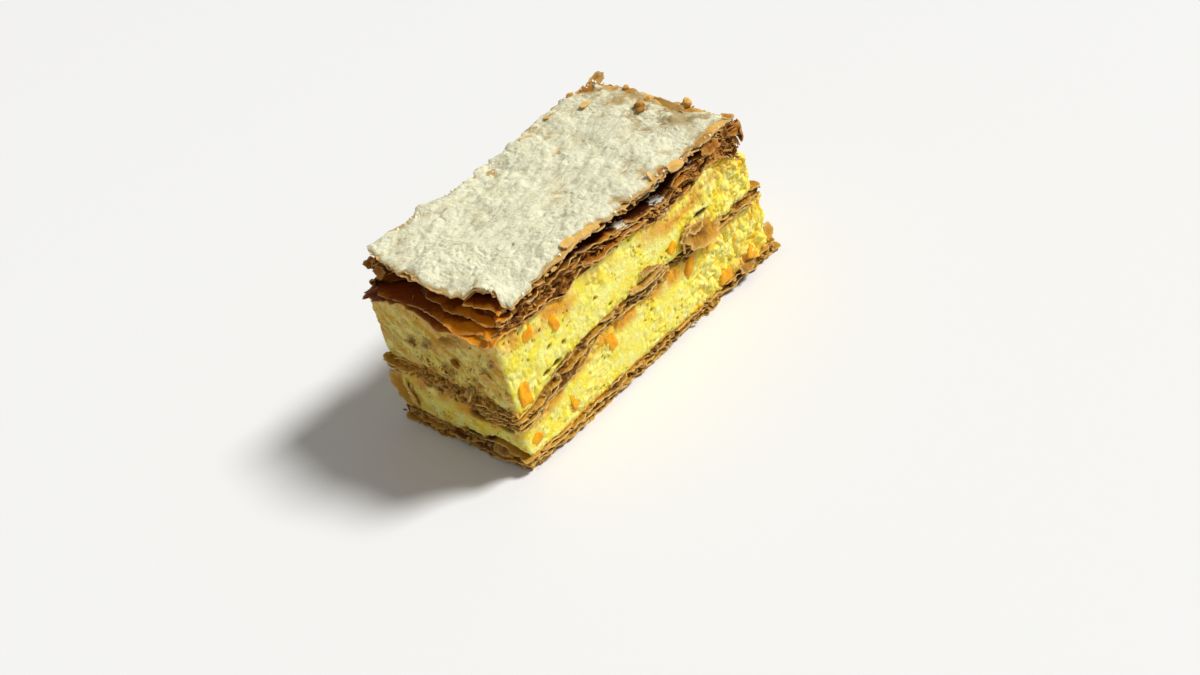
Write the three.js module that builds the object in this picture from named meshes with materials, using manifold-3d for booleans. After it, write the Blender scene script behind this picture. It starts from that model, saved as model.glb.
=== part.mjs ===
import * as THREE from "three";
import { mergeVertices } from "three/addons/utils/BufferGeometryUtils.js";
import Module from "manifold-3d";

// A slice of mille-feuille: three flaky pastry sheets with two layers of vanilla cream between them.
// Millimetres. X runs along the slice from its near end to its far end, Y runs across it from the
// near long side to the far one, and Z points up from the surface that it stands on.

// Driving dimensions
const CORE_CORNERS = [[-52, -24.6], [49.5, -24.6], [49, 23.8], [-52.4, 23.8]]; // the same in every layer
const SPINE_HALF = 33; // half the length of the line down the middle that every cap closes on
const SPINE_CENTRE = -1.5; // the middle of that line
const GAP = 0.4; // clearance between two layers
const BOTTOM_SHEET = 4.3; // thickness of the bottom pastry
const MIDDLE_SHEET = 3.4; // thickness of the middle pastry inside the slice
const MIDDLE_LOW = 15.5; // underside of the middle pastry at the near end
const MIDDLE_HIGH = 23.2; // and beyond the first third of the slice
const MIDDLE_TILT = 4.5; // how much higher it is at the far side, at the near end
const TOP_SHEET_BASE = 43; // underside of the top pastry
const SUGAR_LEAF = 54; // upper face of the sugared leaf
const LEAF = 1.1; // thickness of one baked leaf at its edge
const FINE_LEAF = 0.88; // thickness of the finer leaves
const SUGARED_LEAF = 1.2; // thickness of the sugared leaf's rim
const LEAF_GROOVE = 0.35; // height of the slit between two leaves that lie close

// Points round a ring, and along the line that the caps close on
const STEPS_LONG = 36;
const STEPS_SHORT = 17;
const AROUND = 2 * (STEPS_LONG + STEPS_SHORT);
const SPINE_STEPS = 19;

const wasm = await Module();
wasm.setup();

function material(color, roughness) {
  return new THREE.MeshStandardMaterial({ color, roughness, metalness: 0 });
}

const BAKED = material(0xb9783a, 0.6);
const DARK_BAKED = material(0x9c5f2b, 0.55);
const CREAM = material(0xf3e07a, 0.5);

// Seeded noise, from -1 to 1
function hash(n, seed) {
  const s = Math.sin(n * 127.1 + seed * 311.7) * 43758.5453;
  return 2 * (s - Math.floor(s)) - 1;
}

function ease(t) {
  const c = Math.min(1, Math.max(0, t));
  return c * c * (3 - 2 * c);
}

function noise2(x, y, size, seed) {
  const u = x / size;
  const v = y / size;
  const i = Math.floor(u);
  const j = Math.floor(v);
  const at = (a, b) => hash(a * 57 + b * 131, seed);
  const low = THREE.MathUtils.lerp(at(i, j), at(i + 1, j), ease(u - i));
  const high = THREE.MathUtils.lerp(at(i, j + 1), at(i + 1, j + 1), ease(u - i));
  return THREE.MathUtils.lerp(low, high, ease(v - j));
}

function bump(value, centre, halfWidth) {
  return 1 - ease(Math.abs(value - centre) / halfWidth);
}

const NEAR_SIDE = -0.99; // on the unit square, anything below this is the near side or end
const FAR_SIDE = 0.99; // and anything above this is the far one

// Heights of the faces where the layers meet
function bottomTop(x, y) {
  return BOTTOM_SHEET + 0.5 * noise2(x, y, 17, 3);
}

function middleBase(x, y) {
  const rise = ease((x + 54) / 36);
  const acrossNearEnd = (1 - rise) * MIDDLE_TILT * (y / 54 + 0.5);
  return MIDDLE_LOW + (MIDDLE_HIGH - MIDDLE_LOW) * rise + acrossNearEnd + 0.6 * noise2(x, y, 19, 5);
}

function middleTop(x, y) {
  return middleBase(x, y) + MIDDLE_SHEET;
}

function topBase(x, y) {
  const archedUp = 3.2 * bump(x, 36, 13) * bump(y, -27, 30);
  const hangsDown = 3.6 * ease((x - 41) / 12);
  return TOP_SHEET_BASE + archedUp - hangsDown + 0.7 * noise2(x, y, 16, 9);
}

// The far corner at the back has puffed up, and lifts the leaves over it
function curl(x, y) {
  return 4.2 * ease((x + 4) / 56) * ease((y + 30) / 62);
}

function sugarTop(x, y) {
  const droop = 3.2 * (1 - ease((x + 46) / 26)) * (1 - ease((y + 30) / 30));
  const edge = 0.9 * ease((-y - 17) / 12);
  return SUGAR_LEAF - droop + curl(x, y) - edge + 0.55 * noise2(x, y, 11, 21) + 0.3 * noise2(x, y, 5, 22);
}

const CORNER_CUT = 0.7; // how far a corner of a ring is drawn in

// Point i of a ring on the unit square, counter-clockwise from above, and the way out from there
function ringPlace(i) {
  const steps = [STEPS_LONG, STEPS_SHORT, STEPS_LONG, STEPS_SHORT];
  let side = 0;
  let left = i % AROUND;
  while (left >= steps[side]) {
    left -= steps[side];
    side += 1;
  }
  const s = (2 * left) / steps[side] - 1;
  const [u, v] = [[s, -1], [1, s], [-s, 1], [-1, -s]][side];
  const normals = [[0, -1], [1, 0], [0, 1], [-1, 0]];
  const out = [...normals[side]];
  let cornerCut = 0;
  if (left === 0) {
    const before = normals[(side + 3) % 4];
    out[0] += before[0];
    out[1] += before[1];
    cornerCut = CORNER_CUT;
  }
  return { i, u, v, out, cornerCut };
}

const PLACES = Array.from({ length: AROUND }, (_, i) => ringPlace(i));

function between(corners, u, v) {
  const [a, b, c, d] = corners;
  const near = [0, 1].map((k) => THREE.MathUtils.lerp(a[k], b[k], (u + 1) / 2));
  const far = [0, 1].map((k) => THREE.MathUtils.lerp(d[k], c[k], (u + 1) / 2));
  return [0, 1].map((k) => THREE.MathUtils.lerp(near[k], far[k], (v + 1) / 2));
}

// One ring of points: four corners in plan, a ragged edge, and a height over the plan
function ring({ corners, ragged = 0, seed = 0, reach = () => 0, height }) {
  return PLACES.map((place) => {
    const [x0, y0] = between(corners, place.u, place.v);
    const torn = ragged * (0.65 * hash(place.i, seed) + 0.6 * noise2(x0, y0, 9, seed));
    const push = torn + reach(place.u, place.v, x0, y0) - place.cornerCut;
    const x = x0 + place.out[0] * push;
    const y = y0 + place.out[1] * push;
    return new THREE.Vector3(x, y, height(x, y));
  });
}

// The spine point that a place closes on
function spinePoint(place, height) {
  const step = Math.round(((place.u + 1) / 2) * SPINE_STEPS);
  const x = SPINE_CENTRE + SPINE_HALF * ((2 * step) / SPINE_STEPS - 1);
  return { step, point: new THREE.Vector3(x, 0, height(x, 0)) };
}

const CORE_RING = 0.45; // where the ring inside the core lies, as a share of the way to the spine

// Rings that run in from an edge towards the spine, at the given shares of the way
function ringsInward(from, shares, height) {
  return shares.map((share) =>
    PLACES.map((place) => {
      const { point } = spinePoint(place, height);
      const p = from[place.i].clone().lerp(point, share);
      return p.setZ(height(p.x, p.y));
    }),
  );
}

// The rings inside a slice that two neighbouring layers share
function coreRings(height) {
  const edge = ring({ corners: CORE_CORNERS, height });
  return [edge, ...ringsInward(edge, [CORE_RING], height)];
}

// A closed solid from rings in order: out along the underside, up the side, in over the top
function loft(rings, undersideHeight, topHeight) {
  const positions = [];
  const add = (p) => positions.push(p.x, p.y, p.z) / 3 - 1;
  const spine = (height) => {
    const made = new Map();
    return PLACES.map((place) => {
      const { step, point } = spinePoint(place, height);
      if (!made.has(step)) made.set(step, add(point));
      return made.get(step);
    });
  };
  const rows = [spine(undersideHeight), ...rings.map((r) => r.map(add)), spine(topHeight)];
  const index = [];
  const face = (a, b, c) => {
    if (a !== b && b !== c && a !== c) index.push(a, b, c);
  };
  // Each quad splits along its shorter diagonal in plan, so that two faces that meet split alike
  const planDistance = (p, q) =>
    Math.hypot(positions[3 * p] - positions[3 * q], positions[3 * p + 1] - positions[3 * q + 1]);
  for (let r = 0; r + 1 < rows.length; r += 1) {
    for (let i = 0; i < AROUND; i += 1) {
      const j = (i + 1) % AROUND;
      const [a, b, c, d] = [rows[r][i], rows[r][j], rows[r + 1][j], rows[r + 1][i]];
      if (planDistance(a, c) < planDistance(b, d)) {
        face(a, b, c);
        face(a, c, d);
      } else {
        face(a, b, d);
        face(b, c, d);
      }
    }
  }
  const geometry = new THREE.BufferGeometry();
  geometry.setAttribute("position", new THREE.Float32BufferAttribute(positions, 3));
  geometry.setIndex(index);
  return geometry;
}

function toSolid(geometry) {
  const plain = geometry.clone();
  plain.deleteAttribute("normal");
  plain.deleteAttribute("uv");
  const merged = mergeVertices(plain, 1e-4);
  return new wasm.Manifold(new wasm.Mesh({
    numProp: 3,
    vertProperties: merged.attributes.position.array,
    triVerts: new Uint32Array(merged.index.array),
  }));
}

function toGeometry(solid) {
  const { vertProperties, triVerts } = solid.getMesh();
  const geometry = new THREE.BufferGeometry();
  geometry.setAttribute("position", new THREE.Float32BufferAttribute(vertProperties, 3));
  geometry.setIndex([...triVerts]);
  return geometry;
}

function fuse(geometry, pieces) {
  const whole = pieces.reduce((solid, piece) => solid.add(toSolid(piece)), toSolid(geometry));
  return toGeometry(whole);
}

// A torn flake of pastry: an uneven flat plate, thin along its own Z
function flake({ size, at, turn, seed, thickness = 1.1, points = 9 }) {
  const outline = new THREE.Shape();
  for (let k = 0; k < points; k += 1) {
    const angle = (2 * Math.PI * k) / points;
    const reach = 1 + 0.22 * hash(k, seed);
    const x = (size[0] / 2) * reach * Math.cos(angle);
    const y = (size[1] / 2) * reach * Math.sin(angle);
    if (k === 0) outline.moveTo(x, y);
    else outline.lineTo(x, y);
  }
  const plate = new THREE.ExtrudeGeometry(outline, { depth: thickness, bevelEnabled: false });
  plate.translate(0, 0, -thickness / 2);
  plate.applyMatrix4(new THREE.Matrix4().makeRotationFromEuler(new THREE.Euler(...turn)));
  return plate.translate(...at);
}

// A small lump, such as a die of candied fruit or a crumb
function lump({ size, at, turn = 0, seed }) {
  const geometry = new THREE.IcosahedronGeometry(0.5, 0);
  geometry.deleteAttribute("normal");
  geometry.deleteAttribute("uv");
  const shape = mergeVertices(geometry, 1e-4);
  const position = shape.attributes.position;
  for (let k = 0; k < position.count; k += 1) {
    const stretch = 1 + 0.16 * hash(k, seed);
    position.setXYZ(k, position.getX(k) * stretch, position.getY(k) * stretch, position.getZ(k));
  }
  shape.scale(...size);
  shape.rotateY(turn);
  return shape.translate(...at);
}

const UNEVEN_RIM = 0.15; // how much a leaf's thickness varies along its edge

function raised(from, rise) {
  return from.map((p, i) => new THREE.Vector3(p.x, p.y, p.z + rise(i)));
}

// The side of a stack of baked leaves: two rings for each leaf, and one in the groove above it
function leafStack(leaves) {
  return leaves.flatMap((leaf, k) => {
    const lower = ring(leaf);
    const upper = raised(lower, (i) => leaf.thick + UNEVEN_RIM * hash(i, k));
    if (!leaf.groove) return [lower, upper];
    const lift = leaf.thick + leaf.groove.above;
    const groove = ring({ ...leaf.groove, height: (x, y) => leaf.height(x, y) + lift });
    return [lower, upper, groove];
  });
}

// The rim of a sheet's upper face, straight above the edge of its highest leaf
function lipOver(edge, height) {
  return edge.map((p) => new THREE.Vector3(p.x, p.y, height(p.x, p.y) - 0.1));
}

const BOTTOM_CORNERS = [[-56.3, -27.6], [59.5, -27.3], [59, 26.8], [-57.5, 26.8]];

// The bottom sheet, with a tongue of pastry that runs out at the far end
function bottomPastry() {
  const upperLeaf = (x, y) => bottomTop(x, y) / 2 - 0.3;
  const tongue = (u, v) => (u > FAR_SIDE ? 5 * bump(v, -0.8, 0.45) + 1.5 * bump(v, 0.5, 0.4) : 0);
  const sides = leafStack([
    {
      corners: BOTTOM_CORNERS,
      ragged: 0.7,
      seed: 31,
      thick: LEAF,
      height: () => 0,
      reach: (u, v) => 0.5 * tongue(u, v) - 0.8,
      groove: { corners: BOTTOM_CORNERS, ragged: 0.5, seed: 41, reach: () => -2.6, above: LEAF_GROOVE },
    },
    {
      corners: BOTTOM_CORNERS,
      ragged: 0.9,
      seed: 32,
      thick: LEAF,
      height: upperLeaf,
      reach: tongue,
    },
  ]);
  const flat = () => 0;
  const under = ringsInward(sides[0], [0.5], flat);
  const lip = lipOver(sides.at(-1), bottomTop);
  return loft([...under, ...sides, lip, ...coreRings(bottomTop)], flat, bottomTop);
}

const CREAM_LEVELS = [0.03, 0.2, 0.42, 0.63, 0.82, 0.97]; // of the rings up a side of cream
const CREAM_BULGE = 0.7; // how far a side of cream swells at half its height
const CREAM_INSET = 0.6; // how far it is drawn in at its top and its bottom

// A layer of cream between two faces, with a torn, uneven side
function creamLayer({ corners, under, over, seed, reach, pieces }) {
  const floor = (x, y) => under(x, y) + GAP;
  const roof = (x, y) => over(x, y) - GAP;
  const sides = CREAM_LEVELS.map((level, k) => {
    const height = (x, y) => THREE.MathUtils.lerp(floor(x, y), roof(x, y), level);
    const swell = CREAM_BULGE * Math.sin(Math.PI * level) - CREAM_INSET;
    const out = (u, v, x, y) => reach(x, y, height(x, y)) + swell;
    return ring({ corners, ragged: 0.9, seed: seed + k, reach: out, height });
  });
  const shaped = [...coreRings(floor).reverse(), ...sides, ...coreRings(roof)];
  return fuse(loft(shaped, floor, roof), pieces.map((piece) => lump(piece)));
}

const LOWER_CREAM_CORNERS = [[-55.6, -27.4], [57.5, -27.2], [57, 26.2], [-56.4, 26.2]];
const UPPER_CREAM_CORNERS = [[-54.6, -27.2], [53.5, -27.6], [53, 26], [-55.4, 26]];

function lowerCream() {
  const behindHangingFlake = (x, y) => (x < -54 ? -1.9 * bump(y, 23, 11) : 0);
  return creamLayer({
    corners: LOWER_CREAM_CORNERS,
    under: bottomTop,
    over: middleBase,
    seed: 50,
    reach: behindHangingFlake,
    pieces: [
      { size: [3.6, 2.6, 7.4], at: [-35, -27.3, 9.4], turn: 0.12, seed: 1 },
      { size: [3.4, 2.4, 6.2], at: [19.6, -26.9, 20], turn: -0.5, seed: 2 },
      { size: [7, 2.6, 5], at: [33, -27.4, 8.6], turn: 0.1, seed: 3 },
      { size: [4, 2.6, 5.6], at: [-17, -27.2, 17.6], turn: 0.35, seed: 4 },
      { size: [5, 2.6, 4.4], at: [43, -27.3, 8.8], turn: -0.3, seed: 5 },
      { size: [5, 2.6, 4], at: [-51, -27, 8.2], turn: 0.4, seed: 6 },
      { size: [2.6, 5, 5.4], at: [56.5, -15, 10], seed: 7 },
      { size: [2.6, 4, 5], at: [56.2, 9, 15], seed: 8 },
      { size: [5, 2.6, 4.4], at: [12, 26, 12], turn: 0.5, seed: 9 },
      { size: [4, 2.4, 6], at: [-26, 26, 14], turn: -0.3, seed: 10 },
    ],
  });
}

function upperCream() {
  const behindShards = (x, y, z) => {
    const large = 1.7 * bump(x, 26.5, 12) * bump(z, 28, 8);
    const small = 1.5 * bump(x, 1, 10) * bump(z, 27.5, 4);
    return y < -26 ? -Math.max(large, small) : 0;
  };
  return creamLayer({
    corners: UPPER_CREAM_CORNERS,
    under: middleTop,
    over: topBase,
    seed: 60,
    reach: behindShards,
    pieces: [
      { size: [5.4, 2.8, 7.6], at: [-49.6, -27.2, 25.8], turn: -0.1, seed: 11 },
      { size: [3, 2.4, 5.2], at: [-34.4, -27.2, 36.4], turn: 0.3, seed: 12 },
      { size: [4.6, 2.6, 4.2], at: [13.8, -27.5, 30], turn: 0.6, seed: 13 },
      { size: [5, 2.4, 3.4], at: [-44, -27.2, 39.2], turn: 0.2, seed: 14 },
      { size: [3.4, 2.4, 4.2], at: [41, -27.4, 31.6], turn: 0.5, seed: 15 },
      { size: [2.4, 3.2, 5], at: [53.6, -18, 33], seed: 16 },
      { size: [4, 2.4, 4.8], at: [-12, 26, 35], turn: 0.4, seed: 17 },
      { size: [5, 2.4, 4], at: [30, 26, 31.5], turn: -0.4, seed: 18 },
    ],
  });
}

const MIDDLE_CORNERS = [[-55.4, -27.9], [56.2, -28.1], [55.5, 26.6], [-56.4, 27]];

// The middle sheet: two fine leaves, with broken shards that lie in the near face and a hanging flake
function middlePastry() {
  const missing = (u, v, x) => (v < NEAR_SIDE ? -2.4 * bump(x, 14, 5) : 0);
  const overhang = (u, v) => (u < NEAR_SIDE ? 2 * bump(v, 0.85, 0.4) : 0);
  const sides = leafStack([
    {
      corners: MIDDLE_CORNERS,
      ragged: 0.7,
      seed: 71,
      thick: FINE_LEAF,
      height: (x, y) => middleBase(x, y) + 0.05,
      reach: (u, v, x) => missing(u, v, x) + overhang(u, v) - 0.4,
      groove: { corners: MIDDLE_CORNERS, ragged: 0.5, seed: 81, reach: () => -2.4, above: LEAF_GROOVE },
    },
    {
      corners: MIDDLE_CORNERS,
      ragged: 1,
      seed: 72,
      thick: FINE_LEAF,
      height: (x, y) => middleBase(x, y) + 0.58 * MIDDLE_SHEET,
      reach: (u, v, x) => missing(u, v, x) + 0.5 * overhang(u, v),
    },
  ]);
  const lip = lipOver(sides.at(-1), middleTop);
  const shaped = [...coreRings(middleBase).reverse(), ...sides, lip, ...coreRings(middleTop)];
  const upright = Math.PI / 2;
  return fuse(loft(shaped, middleBase, middleTop), [
    flake({ size: [18, 10.5], at: [26.5, -28.5, 28.3], turn: [upright + 0.04, 0, 0.03], seed: 4 }),
    flake({ size: [15, 5], at: [0.5, -28.3, 27.6], turn: [upright, 0, -0.04], seed: 8 }),
    flake({ size: [12, 13.5], at: [-58, 21.5, 13.4], turn: [upright, upright, 0], seed: 6 }),
  ]);
}

const LEAF_A = [[-56, -28.4], [51.5, -28.6], [51, 26.6], [-56.6, 25.6]];
const LEAF_B = [[-51.5, -27.6], [49.5, -27.4], [50, 26.2], [-53, 25.2]];
const LEAF_C = [[-50.2, -26.6], [47.5, -25.4], [50, 26.4], [-51.5, 25.8]];
const LEAF_TOP = [[-47.6, -28], [49.4, -27.2], [51.4, 29.4], [-47.6, 27.6]];
const SHALLOW_GROOVE = [[-50, -24], [46.5, -24], [47, 23.5], [-50.5, 23.5]];
const DEEP_GROOVE = [[-43, -19.5], [41, -17], [43, 20], [-43, 21.5]];

const SUGARED_RINGS = [0.08, 0.22, 0.4, 0.6, 0.8]; // as shares of the way from its rim to the spine

// The top stack: three leaves that part at the near end, and the sugared leaf lifted over them
function topPastry() {
  const lowLeaf = (x, y) => topBase(x, y) + 0.05;
  const parted = (x) => 1 - ease((x + 50) / 14);
  const secondLeaf = (x, y) =>
    topBase(x, y) + 2.7 + 0.5 * parted(x) + 0.35 * curl(x, y) + 0.35 * noise2(x, y, 8, 24);
  const thirdLeaf = (x, y) => {
    const lifted = 0.8 * parted(x) * bump(y, -22, 20) + 0.3 * curl(x, y);
    return secondLeaf(x, y) + 1.9 + lifted + 0.3 * noise2(x, y, 7, 25);
  };
  const underSugar = (x, y) => Math.max(sugarTop(x, y) - 1.3, thirdLeaf(x, y) + LEAF + 0.9);
  const nearEndBow = (u, v) => (u < NEAR_SIDE ? 5 * (1 - v * v) : 0);
  const bubbleNotch = (u, v) => (u < NEAR_SIDE ? -9 * bump(v, -0.66, 0.19) : 0);
  const tips = (u, v) => (v > FAR_SIDE ? 3.6 * bump(u, -0.5, 0.07) - 2 * bump(u, -0.36, 0.12) : 0);
  const sides = leafStack([
    {
      corners: LEAF_A,
      ragged: 0.8,
      seed: 91,
      thick: LEAF,
      height: lowLeaf,
      groove: {
        corners: SHALLOW_GROOVE,
        ragged: 1,
        seed: 95,
        above: 0.55,
        reach: (u, v) => (u < NEAR_SIDE ? -4 * bump(v, -0.5, 0.55) : 0),
      },
    },
    {
      corners: LEAF_B,
      ragged: 1.1,
      seed: 92,
      thick: FINE_LEAF,
      height: secondLeaf,
      groove: { corners: SHALLOW_GROOVE, ragged: 1, seed: 96, above: LEAF_GROOVE },
    },
    {
      corners: LEAF_C,
      ragged: 1.1,
      seed: 93,
      thick: FINE_LEAF,
      height: thirdLeaf,
      groove: { corners: DEEP_GROOVE, ragged: 1.5, seed: 97, above: 0.3 },
    },
  ]);
  const sugarEdge = ring({
    corners: LEAF_TOP,
    ragged: 1,
    seed: 94,
    reach: (u, v) => nearEndBow(u, v) + bubbleNotch(u, v) + tips(u, v),
    height: underSugar,
  });
  const sugarRim = raised(sugarEdge, () => SUGARED_LEAF);
  const face = (x, y) => Math.max(sugarTop(x, y), underSugar(x, y) + SUGARED_LEAF);
  const over = ringsInward(sugarRim, SUGARED_RINGS, face);
  const shaped = [...coreRings(topBase).reverse(), ...sides, sugarEdge, sugarRim, ...over];
  const crumbs = [
    { size: [3.6, 3, 2.6], at: [43, 6, face(43, 6) + 0.5], seed: 21 },
    { size: [4, 3, 2.6], at: [49, -8, face(49, -8) + 0.5], seed: 22 },
    { size: [3, 3, 2.8], at: [38, 29.4, face(38, 29) - 0.2], seed: 23 },
    { size: [5, 3.2, 2.2], at: [47, 2, face(47, 2) + 0.2], seed: 24 },
  ];
  return fuse(loft(shaped, topBase, face), crumbs.map((crumb) => lump(crumb)));
}

const parts = [
  ["bottom_pastry", bottomPastry(), BAKED],
  ["lower_cream", lowerCream(), CREAM],
  ["middle_pastry", middlePastry(), BAKED],
  ["upper_cream", upperCream(), CREAM],
  ["top_pastry", topPastry(), DARK_BAKED],
];

const slice = new THREE.Group();
for (const [name, geometry, finish] of parts) {
  const mesh = new THREE.Mesh(geometry, finish);
  mesh.name = name;
  slice.add(mesh);
}

// The origin is the middle of the base
const reach = new THREE.Box3().setFromObject(slice);
const centre = reach.getCenter(new THREE.Vector3());
slice.position.set(-centre.x, -centre.y, -reach.min.z);

export default slice;
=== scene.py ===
"""The looks of a slice of mille-feuille: three flaky pastry sheets, two layers of vanilla cream with
dice of candied fruit, and a lifted top leaf under icing sugar.

The slice is laid out in millimetres, with X along it from the near end, Y across it from the near
long side, and Z up. SHIFT moves that to the frame's own origin, and MM turns it into metres.
"""

import math

import bpy
import numpy as np
from mathutils import Euler, Matrix, Vector


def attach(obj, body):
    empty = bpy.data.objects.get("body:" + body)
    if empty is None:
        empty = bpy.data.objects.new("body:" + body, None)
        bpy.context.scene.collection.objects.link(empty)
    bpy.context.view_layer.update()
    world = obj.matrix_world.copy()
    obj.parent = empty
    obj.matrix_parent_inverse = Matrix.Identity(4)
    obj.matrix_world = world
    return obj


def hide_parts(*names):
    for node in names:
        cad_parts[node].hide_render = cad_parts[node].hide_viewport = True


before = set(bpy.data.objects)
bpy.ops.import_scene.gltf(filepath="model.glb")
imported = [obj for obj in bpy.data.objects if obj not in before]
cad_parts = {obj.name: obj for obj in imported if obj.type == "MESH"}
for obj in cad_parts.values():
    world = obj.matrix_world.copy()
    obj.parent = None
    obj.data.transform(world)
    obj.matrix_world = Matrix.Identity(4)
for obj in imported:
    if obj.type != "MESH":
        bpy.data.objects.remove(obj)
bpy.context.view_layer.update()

# Units and place. Points that are nearer together than WELD, in metres, become one.
MM = 0.001
SHIFT = (-3.104, -0.923, 0.0)
WELD = 2e-6

# The layers, as the frame has them
SPINE_HALF = 33.0
SPINE_CENTRE = -1.5
SPINE_STEP = 2.0
BOTTOM_SHEET = 4.3
MIDDLE_SHEET = 3.4
MIDDLE_LOW = 15.5
MIDDLE_HIGH = 23.2
MIDDLE_TILT = 4.5
TOP_SHEET_BASE = 43.0
SUGAR_LEAF = 54.0

BOTTOM_CORNERS = [(-56.3, -27.6), (59.5, -27.3), (59.0, 26.8), (-57.5, 26.8)]
LOWER_CREAM_CORNERS = [(-55.6, -27.4), (57.5, -27.2), (57.0, 26.2), (-56.4, 26.2)]
MIDDLE_CORNERS = [(-55.4, -27.9), (56.2, -28.1), (55.5, 26.6), (-56.4, 27.0)]
UPPER_CREAM_CORNERS = [(-54.6, -27.2), (53.5, -27.6), (53.0, 26.0), (-55.4, 26.0)]
BRIM_CORNERS = [(-56.6, -28.4), (51.5, -28.6), (51.0, 26.6), (-57.0, 25.6)]
SECOND_CORNERS = [(-51.5, -27.6), (49.5, -27.4), (50.0, 26.2), (-53.0, 25.2)]
THIRD_CORNERS = [(-50.2, -26.6), (48.5, -26.2), (50.0, 26.4), (-51.5, 25.8)]
SUGARED_CORNERS = [(-47.6, -28.0), (49.4, -27.2), (51.4, 29.4), (-47.6, 27.6)]

# How finely the visible sides are laid out, and how rounded the cream's upright corners are
LEAF_STEP = 0.42
WALL_STEP = 0.36
CREAM_STEP = 0.36
CREAM_SOFTNESS = 2.4
SUGAR_STEP = 0.4
SUGAR_ROWS = 70

# A leaf: how far in its rows of points lie, first in mm and then as shares of the way to its middle
# line, and how far in its pale rim, droop and crimps reach
LEAF_INSETS = [0.0, 0.22, 0.55, 1.1, 1.9, 3.2, 5.5, 9.5]
DEEP_SHARES = [0.7, 1.0]
HALF_WIDTH = 27.0
RIM_REACH = 0.3
DROOP_REACH = 3.5
CRIMP_REACH = 0.9

# The top stack: the step up to each leaf from the one below, how far that opens in places, over how
# many leaves the hang of the lowest one fades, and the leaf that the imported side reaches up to
STACK_STEPS = [0.35, 0.85, 1.0, 1.0, 0.95, 1.1]
STACK_OPENINGS = [0.0, 0.7, 0.9, 0.9, 1.3, 1.8]
HANG_FADE = 7
PACKED_LEAF = 3

# The sugared leaf: it bows out at the near end, where a bubble has broken open in a notch
LEAF_THICK = 0.5
BOW = 5.0
BOW_CENTRE = -0.2
BOW_HALF = 28.0
NOTCH_PLACE = -20.3
NOTCH_HALF = 5.8
NOTCH_DEPTH = 2.6
BUBBLE_RISE = 2.7
BUBBLE_TILT = 0.1

# Cream: holes and hollows at its sides, darkened with painted shade, as place, half width, half height and
# depth
CAP_SHARES = (1.0, 0.5, 0.08)
LOWER_HOLLOWS = [
    ((-55.5, -18.0, 5.2), 8.0, 2.4, 3.2),
    ((-55.5, -4.0, 5.4), 4.0, 1.4, 2.2),
    ((-55.5, -12.0, 14.6), 5.0, 1.5, 2.4),
    ((-55.5, -21.0, 13.6), 3.0, 1.2, 2.0),
]
UPPER_HOLLOWS = [
    ((-37.0, -27.3, 25.0), 1.6, 0.8, 3.0),
    ((-41.0, -27.3, 24.6), 1.4, 0.7, 2.4),
    ((-33.0, -27.3, 29.0), 0.8, 0.7, 1.2),
    ((-38.0, -27.3, 31.0), 1.0, 0.7, 1.2),
    ((-19.0, -27.3, 34.0), 0.8, 0.5, 1.2),
    ((-14.0, -27.3, 29.0), 0.8, 0.5, 1.2),
    ((28.0, -27.3, 33.4), 3.4, 0.8, 1.6),
]

# Fruit dice: how uneven, soft and pitted a die is, as shares of its width
FRUIT_UNEVEN = 0.22
FRUIT_SOFTENED = 0.26
FRUIT_PITTED = 0.035

# How far a die is sunk into the face that it lies in, and how far out along X and Y the faces are. No
# die lies in a face over or under the cream, so the third number is past them all.
FRUIT_SUNK = 1.2
FACE_STARTS = (52, 25, 99)

# The size and place of each die, and how far it is turned in the cut face
LOWER_FRUIT = [
    ((3.3, 2.6, 6.8), (-35.0, -27.3, 9.4), 0.12),
    ((3.4, 2.4, 6.2), (19.6, -27.8, 20.0), -0.5),
    ((6.4, 2.6, 4.6), (34.3, -27.4, 7.2), 0.1),
    ((4.0, 2.6, 5.6), (-17.0, -27.4, 17.6), 0.35),
    ((4.6, 2.6, 4.0), (48.0, -27.5, 7.4), -0.3),
    ((5.0, 2.6, 4.0), (-51.0, -27.0, 8.2), 0.4),
    ((2.6, 5.0, 5.4), (56.5, -15.0, 10.0), 0.0),
    ((2.6, 4.0, 5.0), (56.2, 9.0, 15.0), 0.0),
    ((5.0, 2.6, 4.4), (12.0, 26.0, 12.0), 0.5),
    ((4.0, 2.4, 6.0), (-26.0, 26.0, 14.0), -0.3),
]
UPPER_FRUIT = [
    ((4.8, 2.8, 7.0), (-49.8, -27.2, 24.2), -0.1),
    ((3.0, 2.4, 5.2), (-34.4, -27.8, 36.4), 0.3),
    ((4.6, 2.6, 4.2), (13.8, -27.5, 30.0), 0.6),
    ((5.0, 2.4, 3.4), (-44.0, -27.7, 39.2), 0.2),
    ((3.4, 2.4, 4.2), (41.0, -27.4, 31.6), 0.5),
    ((2.4, 3.2, 5.0), (53.6, -18.0, 33.0), 0.0),
    ((4.0, 2.4, 4.8), (-12.0, 26.0, 35.0), 0.4),
    ((5.0, 2.4, 4.0), (30.0, 26.0, 31.5), -0.4),
]

# Broken plates, flakes and crumbs
PLATE_POINTS_PER_MM = 2.6
PLATE_FEWEST_POINTS = 6
PLATE_RIM_REACH = 0.5
FLAKE_SIZE = (3.0, 2.0)
FLAKE_POINTS = 5
FLAKE_RIM = 0.6
AT_ORIGIN = (-SHIFT[0], -SHIFT[1], 0.0)
SPOT_STEP = 0.5
HARDLY_EVER = 1e-6
CRUMB_SHAPE = (1.0, 0.8, 0.7)
LARGE_CRUMBS = [
    ((42.2, 2.0), 4.4),
    ((40.4, 0.4), 3.4),
    ((44.0, 3.6), 2.8),
    ((49.6, -10.6), 3.8),
    ((51.0, -9.0), 2.8),
    ((38.9, 28.2), 2.8),
    ((47.5, 3.6), 2.2),
    ((50.0, 14.0), 2.4),
    ((45.5, 21.0), 2.0),
]

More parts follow.
